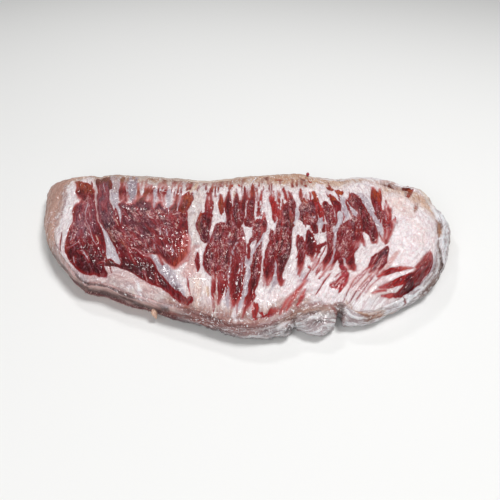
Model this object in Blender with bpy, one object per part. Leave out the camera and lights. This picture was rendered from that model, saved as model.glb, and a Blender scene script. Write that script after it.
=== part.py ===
"""Dried beef: one flat slab of air-dried, marbled beef, modelled in metres with +Z up.

The slab lies on its flat underside with its cut face up.  +X runs along its length, and +Y from
the lobed front edge, where the outer skin is rolled over, to the dried back edge.  The origin is
on the underside, in the middle of the slab's bounding box.

The cut face is a grid stretched between four edge curves.  Its relief is a gentle crown, an edge
that droops, two muscles that meet in a deep groove, and the fat seams that stand proud between
the shrunken muscle bundles.  The flank is lofted down from the edge of the face: a crease, the
roll of skin, the widest line and the foot.
"""

import bmesh
import bpy
import numpy as np

MM = 0.001
NODE = "beef_slab"

# Driving sizes, in millimetres.
FACE_HEIGHT = 17.2      # cut face over the underside, away from the edges
CROWN = 0.9             # extra height in the middle of the face
BELLY_HEIGHT = 6.0      # height of the flank's widest line
FOOT_INSET = 4.4        # how far the underside stays inside the widest line
SHOULDER = 14.0         # width of the drooping margin of the face
CREASE_DEPTH = 0.8      # groove between the cut face and the skin
LIP_GROOVE = 1.3        # dried crease under the fat at the front left
LIP_END = -36.0         # where along the slab that crease ends
LIP_FADE = 8.0          # length over which it fades
LIP_CORNER = -30.0      # how far back it turns the corner
UNDULATION = 0.30       # height of the slow waves in the face

# Mesh density: cells along and across the face.
CELLS_ALONG = 104
CELLS_ACROSS = 30
EDGE_CROWDING = 0.45    # how much closer the rows lie near the edges

# Edge of the cut face, side by side: x, y, height of the edge, reach of the flank beyond it.
FRONT_EDGE = (
    (-79.5, -36.5, 11.0, 1.0), (-68.0, -38.5, 10.8, 1.8), (-56.0, -44.5, 10.8, 2.2),
    (-43.0, -49.8, 11.0, 1.4), (-33.0, -54.2, 11.4, 1.4), (-22.0, -58.0, 11.8, 1.2),
    (-10.0, -63.0, 12.0, 0.8), (-2.0, -66.5, 12.0, 0.6), (5.0, -67.6, 12.0, 0.5),
    (12.5, -67.2, 12.0, 1.0), (17.5, -64.5, 12.0, 3.0), (22.0, -61.5, 12.0, 5.4),
    (26.0, -59.8, 12.0, 1.8), (30.5, -57.0, 12.0, 9.6), (36.0, -53.6, 12.0, 13.6),
    (43.5, -52.0, 12.0, 11.6), (47.2, -51.8, 12.0, 8.6), (49.8, -51.6, 12.0, 0.6),
    (52.2, -52.2, 12.0, 7.2), (56.0, -55.2, 11.6, 5.2), (62.0, -56.8, 11.2, 2.8),
    (69.0, -54.9, 11.0, 1.4), (77.0, -50.3, 11.0, 1.4), (84.5, -44.6, 11.2, 2.4),
    (93.0, -36.6, 11.8, 4.2),
)
RIGHT_EDGE = (
    (93.0, -36.6, 11.8, 4.2), (100.3, -28.0, 12.8, 4.8), (105.0, -17.5, 13.6, 6.4),
    (109.0, -6.0, 14.0, 7.8), (112.4, 4.5, 14.0, 8.4), (115.0, 17.0, 14.0, 10.0),
    (114.8, 28.0, 14.0, 8.4), (114.4, 35.0, 14.0, 6.0), (115.2, 42.0, 14.0, 5.2),
    (114.0, 49.5, 14.2, 5.2),
)
BACK_EDGE = (
    (-114.5, 56.5, 13.6, 14.0), (-106.0, 60.4, 14.6, 9.0), (-97.0, 62.0, 15.0, 7.0),
    (-86.0, 63.6, 15.2, 6.6), (-69.0, 62.9, 15.2, 6.6), (-45.0, 60.2, 15.0, 6.8),
    (-25.0, 58.2, 14.4, 6.6), (-12.0, 58.8, 14.6, 6.6), (4.0, 61.8, 15.2, 6.6),
    (24.0, 65.2, 15.4, 6.6), (37.0, 65.0, 15.2, 6.4), (48.0, 61.4, 15.0, 6.6),
    (63.0, 59.4, 14.8, 6.8), (78.0, 61.8, 15.0, 6.4), (90.0, 59.4, 15.0, 6.0),
    (98.0, 57.0, 15.0, 4.4), (102.0, 50.9, 14.8, 3.6), (108.0, 50.0, 14.6, 4.4),
    (114.0, 49.5, 14.2, 5.2),
)
LEFT_EDGE = (
    (-79.5, -36.5, 11.0, 1.0), (-85.2, -31.4, 12.0, 0.5), (-93.5, -21.4, 13.2, 1.0),
    (-99.2, -12.6, 13.8, 2.2), (-104.0, -3.0, 14.0, 3.8), (-107.2, 10.8, 14.4, 7.6),
    (-110.4, 24.4, 14.4, 9.4), (-112.6, 40.0, 14.0, 11.2), (-114.5, 56.5, 13.6, 14.0),
)

# Flank, from the face's edge down to its widest line: share of the reach, share of the drop.
FLANK_ROWS = ((0.34, 0.05), (0.66, 0.24), (0.89, 0.55), (1.0, 1.0))
LIP_ROW = 2                 # the flank row that the dried crease pulls in
CREASE_ROW = (0.08, 0.01)
LOWER_ROW = (0.28, 0.42)    # share of the foot inset, share of the belly height left

# The groove where the small left muscle meets the large one, from the back to the front.
MUSCLE_GROOVE = ((-94.0, 62.0), (-89.5, 44.0), (-84.0, 26.0), (-77.0, 8.0), (-69.0, -10.0), (-62.5, -27.0))
GROOVE_DEPTH = 1.5
GROOVE_HALF_WIDTH = 2.6
LEFT_MUSCLE_RISE = 0.9  # height of the left muscle over the large one
RISE_WIDTH = 5.0        # width of the step between them

# Ridges and hollows of the face: height, half width, path.  Fat seams stand proud of the lean.
FACE_RELIEF = (
    (0.8, 3.0, ((-84.0, 60.0), (-79.0, 38.0), (-71.0, 16.0), (-66.0, 4.0))),
    (0.7, 2.4, ((-80.0, 12.0), (-74.0, -4.0), (-66.0, -22.0))),
    (0.9, 4.2, ((-48.0, -20.0), (-39.0, -31.0), (-31.0, -42.0), (-27.0, -51.0))),
    (0.9, 3.6, ((-26.0, 46.0), (-27.5, 20.0), (-27.0, 2.0), (-21.0, -11.0), (-25.0, -28.0), (-17.0, -46.0))),
    (0.8, 3.0, ((-14.0, 34.0), (-12.5, 16.0), (-15.0, 2.0))),
    (0.7, 3.0, ((2.0, 5.0), (4.0, -7.0))),
    (0.8, 2.8, ((13.0, 38.0), (14.0, 20.0), (17.5, 5.0), (12.5, -12.0), (11.0, -28.0))),
    (0.9, 3.0, ((34.0, 20.0), (34.0, 4.0), (30.0, -14.0), (27.0, -34.0), (17.0, -52.0))),
    (0.6, 1.8, ((-4.5, -12.0), (-5.0, -30.0), (-5.5, -50.0))),
    (0.7, 2.2, ((5.0, -24.0), (2.5, -40.0), (-0.5, -56.0))),
    (0.7, 3.0, ((10.5, -44.0), (14.5, -60.0))),
    (0.8, 3.0, ((46.5, 14.0), (43.0, -5.0), (47.0, -17.0))),
    (0.7, 2.4, ((61.0, 24.0), (57.0, 6.0), (51.0, -14.0))),
    (0.9, 3.4, ((77.0, 48.0), (77.0, 28.0), (79.5, 6.0))),
    (1.1, 8.0, ((96.0, 32.0), (95.0, 8.0), (90.0, -12.0), (72.0, -30.0), (50.0, -42.0))),
    (-0.7, 3.4, ((72.0, -47.0), (86.0, -40.0), (96.0, -27.0), (102.0, -13.0))),
    (-0.6, 3.6, ((38.0, -12.0), (44.0, 14.0), (44.0, 30.0))),
    (-0.6, 4.0, ((56.0, -18.0), (63.0, 0.0), (69.0, 26.0))),
    (-0.6, 4.2, ((21.0, -34.0), (25.0, 2.0), (29.0, 32.0))),
    (-0.6, 3.4, ((-8.0, -48.0), (-7.0, -16.0), (-4.0, 26.0))),
    (-0.6, 5.0, ((-40.0, 34.0), (-44.0, 8.0), (-36.0, -20.0))),
    (1.0, 5.5, ((-74.0, -36.0), (-54.0, -41.0), (-36.0, -50.0), (-18.0, -56.5))),
    (-0.9, 1.6, ((90.0, 51.0), (96.0, 47.6), (104.0, 45.6), (110.0, 47.4))),
    (1.3, 2.0, ((91.0, 54.4), (97.0, 51.2), (104.0, 48.6), (110.0, 50.4))),
)

# Slow waves of the face: seeded directions and phases.
WAVE_COUNT = 7
WAVE_SEED = 41
WAVE_LENGTHS = (18.0, 46.0)

# Ragged foot and flank, in millimetres.
FLANK_RAGGEDNESS = 0.35
RAGGED_SEED = 7

BEEF_COLOUR = (0.36, 0.13, 0.12, 1.0)
BEEF_ROUGHNESS = 0.42


def clear_scene():
    """Remove every object, so that the slab is alone."""
    for item in list(bpy.data.objects):
        bpy.data.objects.remove(item, do_unlink=True)


def smooth_curve(points, share):
    """Read a centripetal curve through the points at the given shares of its length."""
    points = np.asarray(points, dtype=float)
    points = np.vstack((2.0 * points[0] - points[1], points, 2.0 * points[-1] - points[-2]))
    steps = np.sqrt(np.linalg.norm(np.diff(points[:, :2], axis=0), axis=1))
    knots = np.concatenate(([0.0], np.cumsum(steps)))
    fine = []
    for i in range(1, len(points) - 2):
        t0, t1, t2, t3 = knots[i - 1:i + 3]
        t = np.linspace(t1, t2, 24, endpoint=False)[:, None]
        a = (t1 - t) / (t1 - t0) * points[i - 1] + (t - t0) / (t1 - t0) * points[i]
        b = (t2 - t) / (t2 - t1) * points[i] + (t - t1) / (t2 - t1) * points[i + 1]
        c = (t3 - t) / (t3 - t2) * points[i + 1] + (t - t2) / (t3 - t2) * points[i + 2]
        d = (t2 - t) / (t2 - t0) * a + (t - t0) / (t2 - t0) * b
        e = (t3 - t) / (t3 - t1) * b + (t - t1) / (t3 - t1) * c
        fine.append((t2 - t) / (t2 - t1) * d + (t - t1) / (t2 - t1) * e)
    fine = np.vstack(fine + [points[-2:-1]])
    length = np.concatenate(([0.0], np.cumsum(np.linalg.norm(np.diff(fine[:, :2], axis=0), axis=1))))
    return np.column_stack([np.interp(share * length[-1], length, column) for column in fine.T])


def crowded(count):
    """Give count + 1 shares from 0 to 1 that lie closer together near both ends."""
    share = np.linspace(0.0, 1.0, count + 1)
    return share - EDGE_CROWDING * np.sin(2.0 * np.pi * share) / (2.0 * np.pi)


def path_distance(x, y, path):
    """Distance from each point to the nearest stretch of a path."""
    path = np.asarray(path, dtype=float)
    nearest = np.full(x.shape, np.inf)
    for (ax, ay), (bx, by) in zip(path[:-1], path[1:]):
        along = ((x - ax) * (bx - ax) + (y - ay) * (by - ay)) / ((bx - ax) ** 2 + (by - ay) ** 2)
        along = np.clip(along, 0.0, 1.0)
        nearest = np.minimum(nearest, np.hypot(x - ax - along * (bx - ax), y - ay - along * (by - ay)))
    return nearest


def slow_waves(x, y):
    """Sum of a few long waves, so that no stretch of the face is quite flat."""
    draw = np.random.default_rng(WAVE_SEED)
    total = np.zeros_like(x)
    for _ in range(WAVE_COUNT):
        turn = draw.uniform(0.0, np.pi)
        length = draw.uniform(*WAVE_LENGTHS)
        phase = draw.uniform(0.0, 2.0 * np.pi)
        total += np.sin(2.0 * np.pi * (x * np.cos(turn) + y * np.sin(turn)) / length + phase)
    return UNDULATION * total / np.sqrt(WAVE_COUNT)


def face_relief(x, y):
    """Height of the muscles, the groove, the seams and the waves over the plain face."""
    groove = smooth_curve(MUSCLE_GROOVE, np.linspace(0.0, 1.0, 40))
    line = np.interp(y, groove[::-1, 1], groove[::-1, 0])
    left_of_groove = 0.5 - 0.5 * np.tanh((x - line) / RISE_WIDTH)
    relief = LEFT_MUSCLE_RISE * left_of_groove
    relief -= GROOVE_DEPTH * np.exp(-(path_distance(x, y, groove) / GROOVE_HALF_WIDTH) ** 2)
    for height, half_width, path in FACE_RELIEF:
        relief += height * np.exp(-(path_distance(x, y, path) / half_width) ** 2)
    return relief + slow_waves(x, y)


def cut_face(front, back, left, right, along, across):
    """Stretch a grid between the four edges and give it its height."""
    u = along[:, None]
    v = across[None, :]
    grid = []
    for axis in (0, 1):
        ruled = (1 - v) * front[:, None, axis] + v * back[:, None, axis]
        ruled = ruled + (1 - u) * left[None, :, axis] + u * right[None, :, axis]
        corners = (1 - u) * (1 - v) * front[0, axis] + u * (1 - v) * front[-1, axis]
        corners = corners + (1 - u) * v * back[0, axis] + u * v * back[-1, axis]
        grid.append(ruled - corners)
    x, y = grid

    span_along = np.linalg.norm(right[:, :2] - left[:, :2], axis=1)[None, :]
    span_across = np.linalg.norm(back[:, :2] - front[:, :2], axis=1)[:, None]
    droop = np.zeros_like(x)
    for edge_height, distance in (
        (front[:, None, 2], v * span_across), (back[:, None, 2], (1 - v) * span_across),
        (left[None, :, 2], u * span_along), (right[None, :, 2], (1 - u) * span_along),
    ):
        fall = np.clip(1.0 - distance / SHOULDER, 0.0, 1.0) ** 2
        droop += ((FACE_HEIGHT - edge_height) * fall) ** 3
    crown = CROWN * (1.0 - (2.0 * u - 1.0) ** 4) * (1.0 - (2.0 * v - 1.0) ** 4)
    z = FACE_HEIGHT + crown + face_relief(x, y) - np.cbrt(droop)
    return np.stack((x, y, z), axis=-1)


def edge_loop(count_along, count_across):
    """Grid places round the rim of the face, counter-clockwise seen from above."""
    loop = [(i, 0) for i in range(count_along)]
    loop += [(count_along, j) for j in range(count_across)]
    loop += [(i, count_across) for i in range(count_along, 0, -1)]
    loop += [(0, j) for j in range(count_across, 0, -1)]
    return loop


def round_mean(values, reach):
    """Smooth values that run round a closed loop."""
    total = np.zeros_like(values)
    weight = 0.0
    for step in range(-3 * reach, 3 * reach + 1):
        share = np.exp(-0.5 * (step / reach) ** 2)
        total += share * np.roll(values, step, axis=0)
        weight += share
    return total / weight


def flank_rings(rim, reach):
    """Loft the flank down from the rim of the face to the foot."""
    tangent = np.roll(rim[:, :2], -1, axis=0) - np.roll(rim[:, :2], 1, axis=0)
    outward = np.column_stack((tangent[:, 1], -tangent[:, 0]))
    outward = round_mean(outward / np.linalg.norm(outward, axis=1)[:, None], 3)
    outward /= np.linalg.norm(outward, axis=1)[:, None]
    draw = np.random.default_rng(RAGGED_SEED)
    ragged = round_mean(draw.normal(size=(len(rim), len(FLANK_ROWS) + 2)), 1) * FLANK_RAGGEDNESS
    drop = rim[:, 2] - BELLY_HEIGHT

    def ring(out, height):
        return np.column_stack((rim[:, :2] + outward * out[:, None], height))

    rings = [ring(reach * CREASE_ROW[0], rim[:, 2] - drop * CREASE_ROW[1] - CREASE_DEPTH)]
    lip = np.clip((LIP_END - rim[:, 0]) / LIP_FADE, 0.0, 1.0) * (rim[:, 1] < LIP_CORNER)
    for row, (share_out, share_down) in enumerate(FLANK_ROWS):
        pinch = LIP_GROOVE * lip * (row == LIP_ROW)
        out = reach * share_out + ragged[:, row] * share_down - pinch
        rings.append(ring(out, rim[:, 2] - drop * share_down))
    inset, left = LOWER_ROW
    lower = ring(reach - FOOT_INSET * inset + ragged[:, -2], np.full(len(rim), BELLY_HEIGHT * left))
    foot = ring(reach - FOOT_INSET + ragged[:, -1], np.zeros(len(rim)))
    return rings + [lower, foot]


def build_slab():
    """Make the slab's closed mesh, centred over the origin."""
    along = crowded(CELLS_ALONG)
    across = crowded(CELLS_ACROSS)
    front = smooth_curve(FRONT_EDGE, along)
    back = smooth_curve(BACK_EDGE, along)
    left = smooth_curve(LEFT_EDGE, across)
    right = smooth_curve(RIGHT_EDGE, across)
    face = cut_face(front, back, left, right, along, across)

    loop = edge_loop(CELLS_ALONG, CELLS_ACROSS)
    rim = np.array([face[place] for place in loop])
    reach = np.concatenate((front[:-1, 3], right[:-1, 3], back[:0:-1, 3], left[:0:-1, 3]))
    rings = flank_rings(rim, reach)

    low = np.min([ring[:, :2].min(axis=0) for ring in rings], axis=0)
    high = np.max([ring[:, :2].max(axis=0) for ring in rings], axis=0)
    centre = np.append((low + high) / 2.0, 0.0)

    form = bmesh.new()
    grid = [[form.verts.new((point - centre) * MM) for point in column] for column in face]
    for i in range(CELLS_ALONG):
        for j in range(CELLS_ACROSS):
            form.faces.new((grid[i][j], grid[i + 1][j], grid[i + 1][j + 1], grid[i][j + 1]))
    upper = [grid[i][j] for i, j in loop]
    for ring in rings:
        lower = [form.verts.new((point - centre) * MM) for point in ring]
        for k in range(len(loop)):
            following = (k + 1) % len(loop)
            form.faces.new((upper[k], lower[k], lower[following], upper[following]))
        upper = lower
    form.faces.new(reversed(upper))
    bmesh.ops.triangulate(form, faces=form.faces[:])

    mesh = bpy.data.meshes.new(NODE)
    form.to_mesh(mesh)
    form.free()
    mesh.shade_smooth()
    return mesh


def beef_material():
    """Moist cured beef, as one mean colour of lean and fat."""
    material = bpy.data.materials.new("cured_beef")
    material.use_nodes = True
    shader = material.node_tree.nodes["Principled BSDF"]
    shader.inputs["Base Color"].default_value = BEEF_COLOUR
    shader.inputs["Roughness"].default_value = BEEF_ROUGHNESS
    shader.inputs["Metallic"].default_value = 0.0
    return material


def main():
    """Build the slab as the scene's one object."""
    clear_scene()
    slab = bpy.data.objects.new(NODE, build_slab())
    slab.data.materials.append(beef_material())
    bpy.context.scene.collection.objects.link(slab)


main()
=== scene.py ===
"""Looks of the dried beef: one flat slab of air-dried, marbled beef, cut face up.

Everything is made in millimetres in the part's own frame and turned to metres as a mesh is
written.  +X runs along the slab, +Y from the lobed front to the dried back edge, +Z up.  The long
tables are texts: a row is a heading, a colon and a path, with a comma between the path's points
and a semicolon at the end.  A row without a heading has the one before it.  The numbers are
places, widths and heights, read one by one.
"""

import logging
import math
from dataclasses import dataclass, field
from enum import Enum

import bpy
import numpy as np
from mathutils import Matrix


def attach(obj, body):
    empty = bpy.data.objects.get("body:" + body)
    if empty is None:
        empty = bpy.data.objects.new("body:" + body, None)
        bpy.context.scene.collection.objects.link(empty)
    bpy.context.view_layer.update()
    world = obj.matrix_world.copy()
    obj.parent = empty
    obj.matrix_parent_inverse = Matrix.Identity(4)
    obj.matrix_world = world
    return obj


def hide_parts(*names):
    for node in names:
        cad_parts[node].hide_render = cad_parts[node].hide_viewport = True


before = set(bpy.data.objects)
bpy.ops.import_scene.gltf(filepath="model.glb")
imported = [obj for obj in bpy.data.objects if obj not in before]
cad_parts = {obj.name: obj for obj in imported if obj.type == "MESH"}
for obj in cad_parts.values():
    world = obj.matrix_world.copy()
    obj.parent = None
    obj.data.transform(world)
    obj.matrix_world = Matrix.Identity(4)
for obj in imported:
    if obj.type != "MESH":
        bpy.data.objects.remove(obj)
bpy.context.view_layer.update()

LOG = logging.getLogger("dried_beef")
MM = 0.001
BODY = "root"
NODE = "beef_slab"
CURVE_STEPS = 8
LATTICE = 97
SHORTEST = 1e-9
SLOWEST = 1e-6
MIX_UNDER, MIX_OVER, MIX_RESULT = 6, 7, 2

Array = np.ndarray
Path = tuple[tuple[float, ...], ...]
Pair = tuple[float, float]
Triple = tuple[float, float, float]
Socket = bpy.types.NodeSocket
Value = object


class Tissue(Enum):
    """Colours of the meat, as display values from 0 to 255."""

    LEAN = (122, 24, 34)
    DEEP = (98, 18, 28)
    BLOOM = (116, 54, 68)
    PURPLE = (92, 50, 58)
    BRIGHT = (174, 40, 38)
    ROSE = (200, 104, 100)
    ORANGE = (182, 84, 44)
    BROWN = (128, 66, 44)
    DARK_BROWN = (90, 44, 32)
    FAT = (246, 236, 236)
    BLUE_WHITE = (206, 198, 205)
    CREAM = (228, 216, 212)
    PINK = (222, 182, 178)
    LAVENDER = (192, 180, 188)
    MAUVE = (168, 112, 126)
    # White of fat, and the colour of painted glints and highlights.
    GLEAM = (250, 246, 248)
    HAZE = (152, 104, 114)
    SIENNA = (162, 76, 46)
    BEIGE = (222, 208, 196)
    SNOW = (250, 243, 244)
    CHERRY = (186, 48, 66)
    PEACH = (232, 204, 190)
    ROSY = (190, 152, 138)
    SAND = (216, 178, 150)
    LINE = (148, 92, 86)
    TAUPE = (166, 130, 116)
    RUST = (132, 62, 56)
    UMBER = (122, 92, 82)
    # Painted shade in creases, slits, notches and gaps.
    CREASE = (72, 50, 50)
    MAROON = (92, 24, 32)
    WINE = (84, 18, 28)
    FRINGE = (194, 156, 148)
    GREY = (156, 148, 150)
    BRONZE = (158, 112, 86)
    GREY_LILAC = (160, 146, 156)
    GREY_PINK = (186, 156, 150)
    TAN = (208, 182, 166)
    OCHRE = (176, 124, 92)
    BAND = (160, 120, 102)
    SKIN = (208, 205, 207)
    # Pale skin, and the colour of the flank's painted shine.
    PALE_SKIN = (234, 233, 237)
    # Painted shade, for the flank's low rows, hollows and pores.
    SHADE = (112, 98, 98)

    def linear(self) -> Array:
        """Give the colour as linear light from 0 to 1."""
        share = np.array(self.value, dtype=float) / 255.0
        return np.where(share <= 0.04045, share / 12.92, ((share + 0.055) / 1.055) ** 2.4)

    def rgba(self) -> tuple[float, ...]:
        """Give the colour as linear light with an opaque fourth channel."""
        return (*map(float, self.linear()), 1.0)


class Ground(Enum):
    """What a stain colours."""

    LEAN = "lean"
    FAT = "fat"
    BOTH = "both"


def read_path(text: str) -> Path:
    """Read a path: a few numbers a point, and a comma between points."""
    return tuple(tuple(map(float, point.split())) for point in text.split(","))


def read_rows(text: str) -> tuple[tuple[list[str], Path], ...]:
    """Read a table.

    Args:
        text: The rows, laid out as this file's first lines say.

    Returns:
        Each row's words and its path.
    """
    rows, words = [], []
    for row in filter(str.strip, text.split(";")):
        heading, colon, path = row.rpartition(":")
        words = heading.split() if colon else words
        rows.append((words, read_path(path)))
    return tuple(rows)


def ease(value: Array, low: float, high: float) -> Array:
    """Rise smoothly from 0 at low to 1 at high.

    Args:
        value: The numbers to read.
        low: Where the rise starts.
        high: Where it ends.

    Returns:
        The eased numbers.
    """
    share = np.clip((value - low) / (high - low), 0.0, 1.0)
    return share * share * (3.0 - 2.0 * share)


def smooth_curve(points: Array, share: Array, steps: int = 24) -> Array:
    """Read a centripetal curve through the points at the given shares of its length.

    Args:
        points: The points, one a row, with x and y first, no two after each other alike.
        share: Shares of the length, from 0 to 1.
        steps: Stretches that each span is divided into.

    Returns:
        One row for each share.
    """
    points = np.asarray(points, dtype=float)
    points = np.vstack((2.0 * points[0] - points[1], points, 2.0 * points[-1] - points[-2]))
    gaps = np.sqrt(np.linalg.norm(np.diff(points[:, :2], axis=0), axis=1))
    knots = np.concatenate(([0.0], np.cumsum(gaps)))
    fine = []
    for i in range(1, len(points) - 2):
        t0, t1, t2, t3 = knots[i - 1:i + 3]
        t = np.linspace(t1, t2, steps, endpoint=False)[:, None]
        a = (t1 - t) / (t1 - t0) * points[i - 1] + (t - t0) / (t1 - t0) * points[i]
        b = (t2 - t) / (t2 - t1) * points[i] + (t - t1) / (t2 - t1) * points[i + 1]
        c = (t3 - t) / (t3 - t2) * points[i + 1] + (t - t2) / (t3 - t2) * points[i + 2]
        d = (t2 - t) / (t2 - t0) * a + (t - t0) / (t2 - t0) * b
        e = (t3 - t) / (t3 - t1) * b + (t - t1) / (t3 - t1) * c
        fine.append((t2 - t) / (t2 - t1) * d + (t - t1) / (t2 - t1) * e)
    fine = np.vstack(fine + [points[-2:-1]])
    strides = np.linalg.norm(np.diff(fine[:, :2], axis=0), axis=1)
    length = np.concatenate(([0.0], np.cumsum(strides)))
    return np.column_stack([np.interp(share * length[-1], length, column) for column in fine.T])


def path_reach(x: Array, y: Array, path: Array) -> Array:
    """Say how far inside a path of changing width each point lies.

    Args:
        x: Points' first coordinate.
        y: Points' second coordinate.
        path: Rows of x, y and half width.

    Returns:
        Positive numbers inside, negative ones outside, in millimetres.
    """
    best = np.full(x.shape, -np.inf)
    for (ax, ay, aw), (bx, by, bw) in zip(path[:-1], path[1:]):
        span = max((bx - ax) ** 2 + (by - ay) ** 2, SHORTEST)
        along = np.clip(((x - ax) * (bx - ax) + (y - ay) * (by - ay)) / span, 0.0, 1.0)
        gap = np.hypot(x - ax - along * (bx - ax), y - ay - along * (by - ay))
        best = np.maximum(best, aw + along * (bw - aw) - gap)
    return best


def line_gap(x: Array, y: Array, line: Array) -> Array:
    """Say how far from a line each point lies.

    Args:
        x: Points' first coordinate.
        y: Points' second coordinate.
        line: The line's points, with x and y first.

    Returns:
        The distances.
    """
    line = np.asarray(line, dtype=float)[:, :2]
    return -path_reach(x, y, np.column_stack((line, np.zeros(len(line)))))


def closed_reach(x: Array, y: Array, outline: Array) -> Array:
    """Say how far inside a closed outline each point lies.

    Args:
        x: Points' first coordinate.
        y: Points' second coordinate.
        outline: The outline's points, the last joined to the first.

    Returns:
        Positive numbers inside, negative ones outside.
    """
    ring = np.vstack((outline, outline[:1]))
    gap = line_gap(x, y, ring)
    inside = np.zeros(x.shape, dtype=bool)
    for (ax, ay), (bx, by) in zip(ring[:-1], ring[1:]):
        if ay != by:
            crosses = (ay > y) != (by > y)
            inside ^= crosses & (x < (bx - ax) * (y - ay) / (by - ay) + ax)
    return np.where(inside, gap, -gap)


def near_path(x: Array, y: Array, path: Array, margin: float) -> Array:
    """Pick the points that lie in the box round a path.

    Args:
        x: Points' first coordinate.
        y: Points' second coordinate.
        path: Rows with x and y first.
        margin: How far the box goes beyond the path.

    Returns:
        The points' numbers.
    """
    low, high = path[:, :2].min(axis=0) - margin, path[:, :2].max(axis=0) + margin
    return np.flatnonzero((x > low[0]) & (x < high[0]) & (y > low[1]) & (y < high[1]))


@dataclass(frozen=True)
class Strand:
    """A bundle of lean or a seam of fat, with half widths, or a muscle's outline without them."""

    tissue: Tissue
    path: Path

    @classmethod
    def table(cls, text: str) -> tuple["Strand", ...]:
        """Read strands, each headed by its tissue."""
        return tuple(cls(Tissue[words[0]], path) for words, path in read_rows(text))


@dataclass(frozen=True)
class Run:
    """A path along which something is strong: a trait's share, or a fold's height and width."""

    strength: float
    soft: float
    path: Path

    @classmethod
    def table(cls, text: str) -> tuple["Run", ...]:
        """Read runs, each headed by its strength and its softness."""
        return tuple(cls(*map(float, words), path) for words, path in read_rows(text))

    def share(self, x: Array, y: Array) -> tuple[Array, Array]:
        """Read how strong the run is.

        Args:
            x: Points' first coordinate.
            y: Points' second coordinate.

        Returns:
            Which points lie near, and the strength at each of them.
        """
        path = np.asarray(self.path, dtype=float)
        near = near_path(x, y, path, path[:, 2].max() + self.soft)
        reach = path_reach(x[near], y[near], path)
        return near, self.strength * ease(reach, -self.soft, 0.5 * self.soft)

    def fold(self, x: Array, y: Array, line: Array | None = None) -> Array:
        """Read the height of a soft ridge, or of a groove where the strength is negative.

        Args:
            x: Points' first coordinate.
            y: Points' second coordinate.
            line: A finer line to follow in place of the path.

        Returns:
            The heights.
        """
        gap = line_gap(x, y, self.path if line is None else line)
        return self.strength * np.exp(-(gap / self.soft) ** 2)


@dataclass(frozen=True)
class Tint:
    """A soft stain on the lean, the fat or both."""

    tissue: Tissue
    ground: Ground
    run: Run

    @classmethod
    def table(cls, text: str) -> tuple["Tint", ...]:
        """Read stains, each headed by its tissue, its ground, its strength and its softness."""
        return tuple(cls(Tissue[tissue], Ground(ground), Run(float(strength), float(soft), path))
                     for (tissue, ground, strength, soft), path in read_rows(text))


@dataclass(frozen=True)
class Sprinkle:
    """A rule that draws many fine strands in a part of the map."""

    tissues: tuple[Tissue, ...]
    count: int
    low: Pair
    high: Pair
    length: Pair
    half_width: Pair
    seed: int

    @classmethod
    def table(cls, text: str) -> tuple["Sprinkle", ...]:
        """Read rules: tissues, then count, low and high corner, length, half width and seed."""
        return tuple(cls(tuple(Tissue[name] for name in names), int(count), *spans, int(seed))
                     for names, ((count,), *spans, (seed,)) in read_rows(text))


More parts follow.
